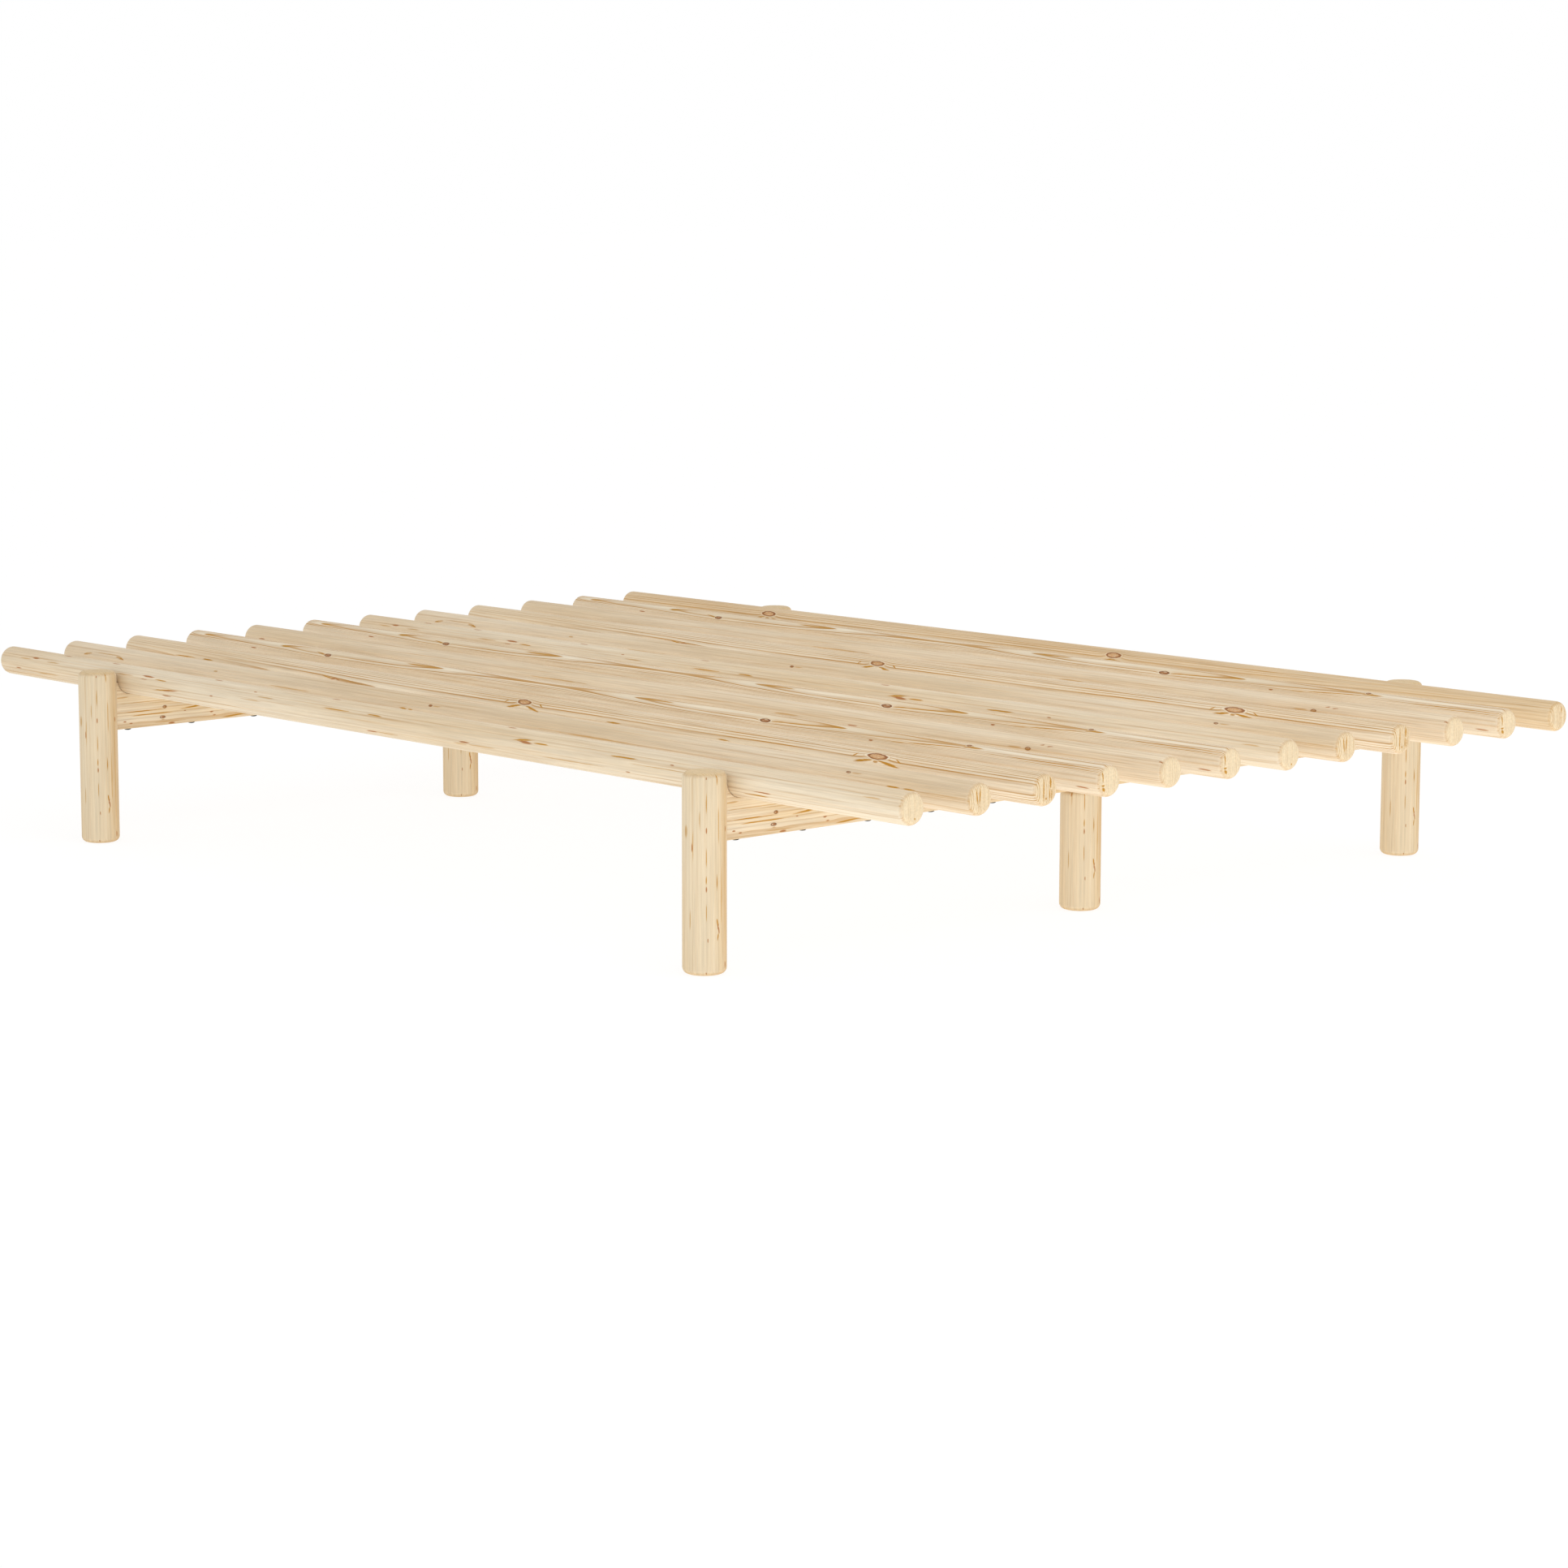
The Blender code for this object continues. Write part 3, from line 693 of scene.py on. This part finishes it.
def end_grain(g, place, colour, wood):
    """Growth rings cut across, which show as upright lines on the flat ends, and painted shade as a golden
    band on the rounded rim.
    """
    outward = g.math("ABSOLUTE", g.axis(g.coordinates("Normal"), "X"))
    facing = g.ease(outward, *END_FACING)
    # Painted shade: a golden band where the rounded rim turns away from the end
    rim = g.math("SUBTRACT", g.ease(outward, *SHADED_RIM_INNER), g.ease(outward, *SHADED_RIM_OUTER))
    bend = g.noise(place, (0.0, 0.02, 0.03), wood["seed"] + 19.0)
    straight = g.math("MULTIPLY", g.axis(place, "Y"), END_LINES_PER_MM)
    lines = g.math("MULTIPLY_ADD", bend, END_LINES_BEND, straight)
    part = g.math("FRACT", lines)
    chance = g.chance(g.math("ADD", g.math("FLOOR", lines), wood["seed"]))
    boldest = wood["end_lines"]
    dark = g.math("MULTIPLY", g.ease(part, *END_RISE), g.ease(part, *SHARP_FALL, 1.0, 0.0))
    dark = g.math("MULTIPLY", dark, g.ease(chance, 0.0, 1.0, FAINTEST_END_LINE * boldest, boldest))
    face = g.mix(dark, wood["end_pale"], LATE)
    face, _ = stroked(g, place, face, wood["end_marks"], STREAK_AND_SHADE, 1.0, wood["seed"] + 21.0)
    colour = g.mix(facing, colour, face)
    # Painted shade on the rounded rim
    return g.mix(g.math("MULTIPLY", rim, SHADED_RIM_SHARE), colour, STREAK_AND_SHADE)


def on_pole(x, turn):
    """Point and outward direction on a pole, turn degrees up from its front side."""
    angle = math.radians(turn)
    out = Vector((0.0, -math.cos(angle), math.sin(angle)))
    return Vector((x, 0.0, 0.0)) + out * POLE_RADIUS / MM, out


# Middle of the side of a leg that shows in the photo, in degrees to the right of its front
LEG_FACE = 47.605


def on_leg(height, turn):
    """Point and outward direction on a leg, turn degrees to the right of the side that shows."""
    angle = math.radians(LEG_FACE + turn)
    out = Vector((0.0, -math.cos(angle), -math.sin(angle)))
    return Vector((height, 0.0, 0.0)) + out * LEG_RADIUS / MM, out


def on_beam(y, height):
    """Point and outward direction on a beam's right-hand face, at a height over the floor."""
    return Vector((y, -BEAM_THICKNESS / 2 / MM, height - BEAM_UNDERSIDE / MM)), Vector((0.0, -1.0, 0.0))


def on_end(y, z):
    """Point and outward direction on a pole's right-hand end."""
    return Vector((POLE_LENGTH / 2 / MM, y, z)), Vector((1.0, 0.0, 0.0))


# Half of how deep a mark is, in mm
MARK_DEPTH = 4.0


def marks(where, table):
    """Marks from rows of (x, turn, length, width), which may go on with a tilt and a lift.

    The tilt is off the grain, in degrees. The lift is how far a knot moves the growth lines.
    """
    made = []
    for x, turn, length, width, *rest in table:
        tilt, lift = (rest + [0.0, 0.0])[:2]
        point, out = where(x, turn)
        grain = Vector((1.0, 0.0, 0.0)) if abs(out.x) < 0.5 else Vector((0.0, 0.0, 1.0))
        across = out.cross(grain)
        angle = math.radians(tilt)
        along = math.cos(angle) * grain + math.sin(angle) * across
        turned = Matrix((along, out.cross(along), out)).transposed().to_euler()
        made.append((tuple(point), (length / 2, width / 2, MARK_DEPTH), tuple(turned), lift))
    return made


# A wood's values, in mm and degrees
# radius, pith: from the piece's axis to its surface, and to the pith line on the ridge's side
# round: whether growth lines run straight over rounded ends
# ridge: where the surface is nearest to the pith, in degrees from the piece's -Y towards its +Z
# drift: points (x, height) by which the growth lines move along the piece
# wave, uneven: how wavy the growth lines are, and how uneven their rings
# rings: width of the first rings, width of the later ones, and the depth where those start
# shift: depth in the growth at the ridge
# strength: how dark the faintest and the darkest line is
# onset: where in a ring the late wood turns dark
# deep: share of its darkness that a line far from the ridge keeps
# along, faded: fade of the lines from one x to another, from share to share, and the ground there
# pale, tone: the two colours of the ground
# knots, dark_knots, dashes, streaks, wisps, shade_bands, end_marks: rows for marks(). The shade bands are
# painted shade.
# shade_band_strength, streaky: strength of the bands of painted shade, and of streaks that a noise places
# end_lines, end_pale: strength of the darkest line on an end face, and the colour between lines
PLAIN = dict(
    radius=POLE_RADIUS / MM, round=True, pith=90.0, ridge=5.0, seed=1.0,
    drift=[(-1000.0, 0.5), (0.0, 0.0), (1000.0, 0.4)], wave=1.0, rings=(3.0, 2.0, 6.0), shift=1.0,
    uneven=0.6, strength=(0.05, 0.3), onset=0.5, deep=0.6, along=(0.0, 1.0, 1.0, 1.0), faded=TAN,
    pale=PALE, tone=TAN, shade_band_strength=0.12, streaky=0.5,
    knots=[], dark_knots=[], dashes=[], streaks=[], wisps=[], shade_bands=[],
    end_lines=0.35, end_pale=END_PALE, end_marks=[],
)

FLECKED = dict(
    PLAIN, ridge=3.0, rings=(2.9, 2.4, 6.0), shift=0.95, strength=(0.1, 0.4), wave=0.5, seed=2.3,
    dashes=marks(on_pole, [
        (-900, 36, 22, 3.4), (-946, -16, 18, 2.6), (-596, 36, 32, 3.2), (-536, -8, 42, 2.0, 4),
        (-550, -34, 25, 2.6), (-430, 0, 8, 2.0), (-328, 45, 8, 1.6), (288, 21, 32, 4.0, -3),
        (158, -16, 26, 2.8), (-52, -38, 28, 3.4), (752, -18, 36, 2.2), (-604, 22, 20, 1.2),
        (582, 26, 9, 1.5), (496, -26, 10, 1.8), (-830, 80, 22, 3.0), (-700, 80, 24, 3.0),
        (-434, 80, 22, 3.0), (-150, 80, 22, 3.0), (242, 80, 22, 3.0),
    ]),
    streaks=marks(on_pole, [
        (-130, 27, 70, 2.2), (-42, 29, 40, 2.6), (282, 29, 44, 2.6, 4), (320, 24, 30, 2.4),
        (-550, -9, 60, 2.2, 4), (488, 25, 60, 2.6), (-562, 28, 34, 2.2), (740, -33, 50, 2.4),
    ]),
    wisps=marks(on_pole, [
        (-925, 28, 40, 2.4), (-850, 28, 40, 2.4), (-660, 28, 56, 2.4), (-298, 28, 44, 2.6),
        (-866, -24, 70, 2.6), (194, -22, 80, 2.4), (380, -21, 150, 2.4), (948, 27, 34, 2.2),
        (150, -24, 34, 2.6), (-20, -36, 60, 3.0), (-330, 10, 60, 1.6), (560, 8, 120, 1.6),
    ]),
    end_lines=0.4, end_marks=marks(on_end, [(1.6, -12.0, 3.0, 2.0)]),
)

SILKY = dict(
    PLAIN, ridge=-48.0, rings=(1.5, 1.5, 6.0), strength=(0.1, 0.5), wave=1.6, seed=4.1,
    pale=rgb(235, 219, 193), tone=rgb(223, 203, 172),
    dark_knots=marks(on_pole, [(-66, 33, 8, 3.4, 0, 0.4), (784, 33, 8, 3.0, 0, 0.4)]),
    wisps=marks(on_pole, [
        (-928, 24, 24, 4.0, 12), (-842, 25, 26, 5.0, -12), (-878, 34, 90, 2.0), (-588, 34, 12, 3.0),
        (-52, 33, 24, 2.0), (800, 33, 26, 2.0), (-400, 12, 120, 2.0), (300, 10, 160, 2.0),
    ]),
    streaks=marks(on_pole, [
        (-934, 23, 14, 2.0, 14), (-836, 23, 16, 2.4, -12), (-124, 6, 18, 2.6), (-108, 6, 14, 2.4),
        (866, 6, 26, 2.8), (896, 6, 22, 2.6),
    ]),
    # Painted shade: a golden band along the lower front, where the poles face each other
    shade_bands=marks(on_pole, [(0, -8, 2600, 20)]),
    end_lines=0.8, end_marks=marks(on_end, [(-7.5, 4.0, 24.0, 2.2, 8), (-2.5, 4.0, 26.0, 2.2, -6)]),
)

CATHEDRAL = dict(
    PLAIN, ridge=64.0, rings=(2.2, 0.98, 2.2), shift=0.0, strength=(0.95, 1.0), onset=0.6,
    wave=0.18, uneven=0.15, seed=6.2,
    drift=[
        (-1000.0, -3.2), (-960.0, -2.2), (-752.0, 0.0), (-550.0, 1.8), (-342.0, 0.0), (-120.0, -1.95),
        (98.0, 0.0), (313.0, 1.8), (528.0, 0.0), (784.0, -2.2), (860.0, -2.35), (1000.0, -2.45),
    ],
    deep=0.55, pale=rgb(241, 229, 206), tone=rgb(235, 219, 191),
    dark_knots=marks(on_pole, [
        (-622, 44, 16, 5.8, 0, 1.6), (375, 44, 20, 6.2, 0, 1.6), (758, 70, 9, 5.0, 0, 0.6),
    ]),
    dashes=marks(on_pole, [(-812, 29, 14, 2.4), (586, 28, 10, 2.4), (970, -27, 26, 2.6)]),
    streaks=marks(on_pole, [
        (-944, 60, 34, 3.6), (-738, 60, 28, 4.4), (-392, 64, 96, 3.6), (142, 64, 84, 3.6),
        (516, 61, 30, 4.2), (770, 60, 36, 3.8), (-640, 50, 30, 2.0, -8), (400, 46, 26, 1.8, 6),
        (700, 46, 170, 1.7, 3.2), (455, 51, 120, 1.7, 2.9), (905, 44, 220, 1.4, 0.3),
        (925, 35, 170, 1.0, 0.3),
    ]),
    # Painted shade: a golden band along the lower front, where the poles face each other, and one over the
    # right-hand end
    shade_bands=marks(on_pole, [(0, -8, 2600, 20), (850, 25, 700, 26)]),
    end_lines=0.45,
    end_marks=marks(on_end, [
        (-12.0, -10.0, 8.0, 4.4, 30), (-13.0, -5.0, 3.0, 6.0), (-13.5, 6.0, 18.0, 1.8),
    ]),
)

LINED = dict(
    PLAIN, ridge=5.0, rings=(2.6, 2.5, 12.0), shift=0.2, strength=(0.9, 1.0), onset=0.55,
    along=(-900.0, -250.0, 0.5, 1.0), wave=0.25, uneven=0.4, seed=8.4,
    deep=0.85, pale=rgb(243, 231, 208), tone=rgb(236, 220, 192),
    drift=[
        (-1000.0, 7.0), (-700.0, 4.0), (-500.0, 2.0), (-300.0, 0.0), (-50.0, -0.3), (150.0, 0.1),
        (300.0, -0.2), (450.0, -0.2), (520.0, 0.1), (700.0, -0.3), (1000.0, -0.5),
    ],
    knots=marks(on_pole, [(0, 38, 29, 8.4, 0, 3.0), (716, 38, 36, 8.8, 0, 3.0)]),
    dashes=marks(on_pole, [(-444, 14, 16, 2.4, 8), (-434, 12, 12, 2.0, -8)]),
    streaks=marks(on_pole, [
        (-20, 17, 36, 3.4, 10), (22, 15, 36, 3.6, -12), (200, 11, 34, 2.4), (424, 11, 28, 2.4),
        (694, 17, 38, 3.6, 8), (740, 15, 46, 3.8, -8), (-830, 11, 60, 2.2), (-770, 11, 30, 2.8),
        (-460, 16, 30, 1.8, -6), (-38, 33, 12, 2.0, 30), (38, 32, 14, 2.0, -30), (676, 33, 12, 2.0, 30),
        (756, 30, 14, 2.0, -24),
    ]),
    # Painted shade: a golden band low on the front of the right-hand end
    shade_bands=marks(on_pole, [(880, -4, 500, 22)]),
    end_lines=1.0,
    end_marks=marks(on_end, [
        (6.3, 9.0, 18.0, 3.8), (5.2, -6.0, 18.0, 2.2), (8.4, -6.0, 18.0, 2.2), (-5.7, 0.0, 34.0, 2.6),
        (-1.5, -10.6, 3.4, 2.6),
    ]),
)

LINED_REAR = dict(
    LINED, strength=(0.6, 1.0), deep=0.6, along=(250.0, 750.0, 1.0, 0.4), faded=rgb(222, 198, 160),
    pale=rgb(234, 216, 186), tone=rgb(225, 201, 165),
    drift=[(-1000.0, 0.0), (-500.0, -0.3), (0.0, 0.1), (300.0, -0.3), (550.0, 1.2), (1000.0, 5.0)],
    knots=marks(on_pole, [(-622, 40, 32, 10.0, 0, 3.0), (167, 40, 30, 10.0, 0, 3.0)]),
    dashes=[],
    streaks=marks(on_pole, [
        (-644, 16, 34, 2.4, 10), (-600, 14, 34, 2.8, -12), (150, 15, 34, 2.4, 8),
        (186, 14, 30, 2.4, -8),
    ]),
    end_marks=marks(on_end, [(4.5, 9.5, 10.0, 2.0), (4.2, -2.0, 2.8, 1.6)]),
)

EVEN = dict(
    PLAIN, ridge=-70.0, rings=(2.6, 2.6, 6.0), strength=(0.08, 0.4), wave=1.3, seed=10.7,
    pale=rgb(234, 217, 190), tone=rgb(225, 205, 174),
    dark_knots=marks(on_pole, [(764, 19, 10, 4.6, 0, 0.5)]),
    dashes=marks(on_pole, [
        (787, 41, 12, 2.0, 8), (800, 38, 12, 1.8, 8), (-948, 10, 18, 2.4), (432, 10, 24, 2.2),
        (994, 41, 8, 2.0),
    ]),
    wisps=marks(on_pole, [(740, 19, 26, 2.4), (300, 16, 60, 3.0), (-200, 20, 160, 2.4)]),
    # Painted shade: a golden band along the lower front, where the poles face each other, and two over the
    # right-hand end
    shade_bands=marks(on_pole, [(0, -8, 2600, 20), (880, 20, 700, 28), (900, -32, 500, 24)]),
    end_lines=0.45,
)

POLE_WOODS = [
    FLECKED, SILKY, LINED, CATHEDRAL, EVEN, CATHEDRAL, FLECKED, SILKY, LINED, EVEN, CATHEDRAL, LINED_REAR,
]

BEAM_WOOD = dict(
    PLAIN, radius=BEAM_THICKNESS / 2 / MM, round=False, pith=70.0, ridge=-10.0, rings=(2.8, 2.2, 6.0),
    strength=(0.15, 0.6), wave=1.6, seed=12.9, tone=rgb(232, 205, 160),
    dark_knots=marks(on_beam, [
        (-566, 192.5, 7, 4.4, 0, 1.0), (-570, 177.5, 10, 4.2, 0, 1.0), (-340, 186.0, 14, 8.0, 0, 1.5),
        (-90, 178.0, 10, 6.0, 0, 1.0), (210, 190.0, 16, 8.0, 0, 1.5), (470, 176.0, 9, 5.0, 0, 1.0),
    ]),
    dashes=marks(on_beam, [
        (-637, 176, 6, 2.4), (-626, 172.5, 8, 2.6), (-554, 167.5, 12, 3.0), (-530, 184, 5, 1.8),
        (-482, 178, 9, 3.0), (-477, 172.5, 7, 2.4), (-20, 170, 12, 2.6), (330, 182, 10, 2.4),
    ]),
    streaks=marks(on_beam, [
        (-516, 188.6, 44, 3.2, 4), (-440, 169.0, 56, 2.6, 3), (-610, 189.6, 90, 2.0),
        (-590, 183.6, 90, 2.0),
    ]),
    wisps=marks(on_beam, [(-600, 203.0, 110, 2.0), (-640, 212.4, 30, 2.4), (-560, 170.0, 60, 2.0)]),
    end_lines=0.6,
)

LEG_WOOD = dict(
    PLAIN, radius=LEG_RADIUS / MM, pith=140.0, ridge=-48.0, rings=(3.2, 2.8, 6.0),
    strength=(0.03, 0.16), wave=0.5, seed=15.1, drift=[(0.0, 0.4), (128.0, 0.0), (256.0, 0.5)],
    pale=rgb(226, 209, 179), tone=rgb(222, 200, 163),
    dashes=marks(on_leg, [
        (110, 6, 9, 2.2), (184, 6, 9, 2.0), (162, -32, 13, 2.0), (4, 6, 5, 2.0), (249, 6, 4, 1.6),
        (13, 67, 10, 2.8), (46, 10, 7, 1.4), (58, 41, 11, 2.2, 12), (63, 38, 9, 1.6, -12),
        (184, 69, 8, 2.8),
    ]),
    streaks=marks(on_leg, [
        (218, 6, 28, 1.4), (151, 6, 26, 1.4), (81, 6, 26, 1.4), (122, 6, 14, 1.6), (118, 35, 28, 1.8),
        (68, 36, 12, 2.2, 8), (50, 38, 12, 2.0, -8), (250, 35, 22, 1.8),
    ]),
    wisps=marks(on_leg, [
        (197, -11, 26, 2.0), (70, -38, 30, 2.0), (165, -30, 40, 2.2), (181, -53, 18, 6.0),
        (190, 40, 60, 2.0), (100, 50, 80, 2.0), (130, 66, 250, 1.8),
    ]),
    # Painted shade: a golden band down the leg's right side, with its strength
    shade_bands=marks(on_leg, [(128, 68, 400, 30)]), shade_band_strength=0.22, streaky=0.25,
    end_lines=0.5, end_pale=rgb(222, 199, 160),
)


# Steel. The dome's rubbed rim lies between two distances from its axis, in millimetres.

OXIDE_DARK = (0.011, 0.011, 0.012, 1.0)
OXIDE_LIGHT = (0.03, 0.029, 0.028, 1.0)
RUBBED = (0.10, 0.097, 0.094, 1.0)
RUBBED_FROM = 4.4
RUBBED_TO = 5.2
ZINC_COOL = (0.5, 0.51, 0.53, 1.0)
ZINC_WARM = (0.66, 0.65, 0.6, 1.0)


def black_steel():
    """Blackened steel: dark oxide, uneven sheen and paler metal where the dome's rim has rubbed."""
    material, g, shader, place = start_material("black_oxide_steel")
    grit = g.noise(place, (1.4, 1.4, 1.4), 1.0, 4.0)
    smear = g.noise(place, (0.4, 0.4, 0.4), 2.0, 2.0)
    from_axis = g.length(g.scaled(place, (0.0, 0.0, 0.0), (0.0, 1.0, 1.0)))
    worn = g.math("MULTIPLY", g.ease(from_axis, RUBBED_FROM, RUBBED_TO), g.ease(grit, 0.55, 0.8))
    colour = g.mix(g.ease(smear, 0.3, 0.7), OXIDE_DARK, OXIDE_LIGHT)
    colour = g.mix(worn, colour, RUBBED)
    rough = g.ease(grit, 0.2, 0.8, 0.55, 0.75)
    join_shader(g, shader, colour, rough, grit, bump_strength=0.2, bump_metres=0.0001)
    shader.inputs["Metallic"].default_value = 0.1
    shader.inputs["Specular IOR Level"].default_value = 0.05
    return material


def zinc_steel():
    """Zinc plating: bright grey with soft clouds and fine turning marks."""
    material, g, shader, place = start_material("zinc_plated_steel")
    cloud = g.noise(place, (0.5, 0.5, 0.5), 3.0, 3.0)
    turning = g.noise(place, (5.0, 0.3, 0.3), 4.0, 3.0)
    colour = g.mix(g.ease(cloud, 0.3, 0.7), ZINC_COOL, ZINC_WARM)
    rough = g.ease(turning, 0.2, 0.8, 0.22, 0.42)
    join_shader(g, shader, colour, rough, turning, bump_strength=0.25, bump_metres=0.0001)
    shader.inputs["Metallic"].default_value = 1.0
    return material


# Pieces

def dress(node, mesh, material, place, turn=(0.0, 0.0, 0.0)):
    """Adds a piece that stands for a CAD node. Pieces may share a mesh and keep their own materials."""
    piece = add_object(f"fine_{node}", mesh, place, turn)
    if not mesh.materials:
        mesh.materials.append(None)
    piece.material_slots[0].link = "OBJECT"
    piece.material_slots[0].material = material
    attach(piece, "root")
    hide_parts(node)


def keep(node, material):
    """Shows a CAD node as it is, in this material."""
    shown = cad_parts[node]
    shown.data.materials.clear()
    shown.data.materials.append(material)


# Turns of a piece whose own X points up, and of one whose own X is the frame's Y
UPRIGHT = (0.0, -math.pi / 2, 0.0)
ALONG_Y = (0.0, 0.0, math.pi / 2)


def place_poles():
    """Twelve poles that share a mesh. Poles with the same wood share a material as well."""
    mesh = pole_mesh()
    looks = {}
    for number, (y, wood) in enumerate(zip(pole_places(), POLE_WOODS), start=1):
        key = id(wood)
        if key not in looks:
            looks[key] = pine(f"pine_pole_{len(looks) + 1}", wood)
        dress(f"pole_{number:02d}", mesh, looks[key], (0.0, y, POLE_HEIGHT))


def place_beams():
    """Two cross beams that share a mesh and a material."""
    mesh = beam_mesh()
    look = pine("pine_beam", BEAM_WOOD)
    for side, x in SIDES:
        dress(f"cross_beam_{side}", mesh, look, (x, 0.0, BEAM_UNDERSIDE), ALONG_Y)


def place_legs():
    """Six legs of one material. The front corner legs share a mesh, and so do the rear ones."""
    look = pine("pine_leg", LEG_WOOD)
    centre = centre_leg_mesh()
    for side, x in SIDES:
        dress(f"centre_leg_{side}", centre, look, (x, 0.0, 0.0), UPRIGHT)
    for row, inward in ROWS:
        mesh = corner_leg_mesh(inward)
        for side, x in SIDES:
            place = (x, -inward * LEG_Y, 0.0)
            dress(f"corner_leg_{row}_{side}", mesh, look, place, UPRIGHT)


def place_fittings():
    """Screws and barrels, and the CAD's own bolts and studs, which are inside the wood."""
    black, zinc = black_steel(), zinc_steel()
    screw, barrel = screw_mesh(), barrel_mesh()
    for side, x in SIDES:
        for number, y in enumerate(pole_places(), start=1):
            place = (x, y, BEAM_UNDERSIDE - GAP)
            dress(f"pole_screw_{side}_{number:02d}", screw, black, place, UPRIGHT)
        for row, inward in ROWS:
            place = (x, -inward * BARREL_Y, BEAM_UNDERSIDE)
            dress(f"cam_barrel_{row}_{side}", barrel, zinc, place, UPRIGHT)
            keep(f"cam_bolt_{row}_{side}", zinc)
        keep(f"centre_stud_{side}", zinc)


# Floor, light and camera

WHITE = (1.0, 1.0, 1.0, 1.0)
WARM_WHITE = (1.0, 0.995, 0.985, 1.0)
MATTE_WHITE = (0.92, 0.92, 0.92, 1.0)


def seen_directly(g):
    """One for rays from the camera and for those that metal mirrors or glass lets through."""
    rays = g.add("ShaderNodeLightPath", {})
    seen = g.math("MAXIMUM", rays.outputs["Is Camera Ray"], rays.outputs["Is Glossy Ray"])
    return g.math("MAXIMUM", seen, rays.outputs["Is Transmission Ray"])


FLOOR_HALF = 40.0
FLOOR_DROP = 0.0003
FLOOR_SHADOWED = 0.2
FLOOR_SEEN = 1.07
FLOOR_MATTE = 0.6
FLOOR_LIGHT = 1.55
FLOOR_RIGHT = 2.25
RIGHT_FROM = 0.3
RIGHT_TO = 1.1


def make_floor():
    """White floor that looks even, with a share of plain matte white to carry the soft shadow.

    As light it is brighter on the right.
    """
    bm = bmesh.new()
    bmesh.ops.create_grid(bm, x_segments=1, y_segments=1, size=FLOOR_HALF)
    floor = add_object("floor", as_mesh(bm, "floor"), (0.0, 0.0, -FLOOR_DROP))
    material = bpy.data.materials.new("floor_white")
    material.use_nodes = True
    material.node_tree.nodes.clear()
    g = Graph(material.node_tree)
    seen = seen_directly(g)
    x = g.axis(g.coordinates("Object"), "X")
    light = g.ease(x, RIGHT_FROM, RIGHT_TO, FLOOR_LIGHT, FLOOR_RIGHT)
    level = g.ease(seen, 0.0, 1.0, light, FLOOR_SEEN)
    share = g.ease(seen, 0.0, 1.0, 1.0 - FLOOR_MATTE, 1.0 - FLOOR_SHADOWED)
    matte = g.add("ShaderNodeBsdfDiffuse", {"Color": MATTE_WHITE})
    glow = g.add("ShaderNodeEmission", {"Color": WHITE, "Strength": level})
    both = g.add("ShaderNodeMixShader", {0: share, 1: matte.outputs[0], 2: glow.outputs[0]})
    g.add("ShaderNodeOutputMaterial", {"Surface": both.outputs[0]})
    floor.data.materials.append(material)


SKY_LOW = 1.0
SKY_TOP = 0.73
SKY_TOP_FROM = 0.9
SKY_RIGHT = 0.05


def make_world():
    """White all round for the eye. As light it is a little brighter low down, and on the right."""
    world = bpy.data.worlds.new("studio")
    bpy.context.scene.world = world
    world.use_nodes = True
    world.node_tree.nodes.clear()
    g = Graph(world.node_tree)
    way = g.coordinates("Generated")
    high = g.ease(g.axis(way, "Z"), 0.0, SKY_TOP_FROM, SKY_LOW, SKY_TOP)
    level = g.math("MULTIPLY_ADD", g.axis(way, "X"), SKY_RIGHT, high)
    light = g.add("ShaderNodeBackground", {"Color": WARM_WHITE, "Strength": level})
    white = g.add("ShaderNodeBackground", {"Color": WHITE, "Strength": 1.0})
    both = g.add("ShaderNodeMixShader", {0: seen_directly(g), 1: light.outputs[0], 2: white.outputs[0]})
    g.add("ShaderNodeOutputWorld", {"Surface": both.outputs[0]})


BOX_PLACE = (1.3, -0.2, 2.4)
BOX_TARGET = (1.1, 0.0, 0.2)
BOX_SIDE = 2.0
BOX_WATTS = 12.0


def make_soft_box():
    """Soft box over the frame's right-hand end."""
    lamp = bpy.data.lights.new("right_box", "AREA")
    lamp.shape = "RECTANGLE"
    lamp.size = BOX_SIDE
    lamp.size_y = BOX_SIDE
    lamp.energy = BOX_WATTS
    made = add_object("right_box", lamp, BOX_PLACE)
    made.rotation_mode = "QUATERNION"
    made.rotation_quaternion = (Vector(BOX_TARGET) - Vector(BOX_PLACE)).to_track_quat("-Z", "Y")


def make_camera():
    """The photo's own camera: level right and up first, then rolled about the view."""
    azimuth, elevation, roll = map(math.radians, (CAMERA_AZIMUTH, CAMERA_ELEVATION, CAMERA_ROLL))
    flat = math.cos(elevation)
    ahead = Vector((-math.sin(azimuth) * flat, math.cos(azimuth) * flat, -math.sin(elevation)))
    level_right = Vector((math.cos(azimuth), math.sin(azimuth), 0.0))
    level_up = level_right.cross(ahead)
    right = math.cos(roll) * level_right + math.sin(roll) * level_up
    up = math.cos(roll) * level_up - math.sin(roll) * level_right
    lens = bpy.data.cameras.new("photo_camera")
    lens.sensor_width = SENSOR_MM
    lens.lens = FOCAL_PIXELS / IMAGE_PIXELS * SENSOR_MM
    lens.clip_start = CLIP_NEAR
    lens.clip_end = CLIP_FAR
    camera = add_object("photo_camera", lens)
    turned = Matrix((right, up, -ahead)).transposed()
    camera.matrix_world = Matrix.Translation(CAMERA_PLACE) @ turned.to_4x4()
    bpy.context.scene.camera = camera


def build():
    place_poles()
    place_beams()
    place_legs()
    place_fittings()
    make_floor()
    make_world()
    make_soft_box()
    make_camera()
    bpy.context.scene.view_settings.view_transform = "Standard"


build()
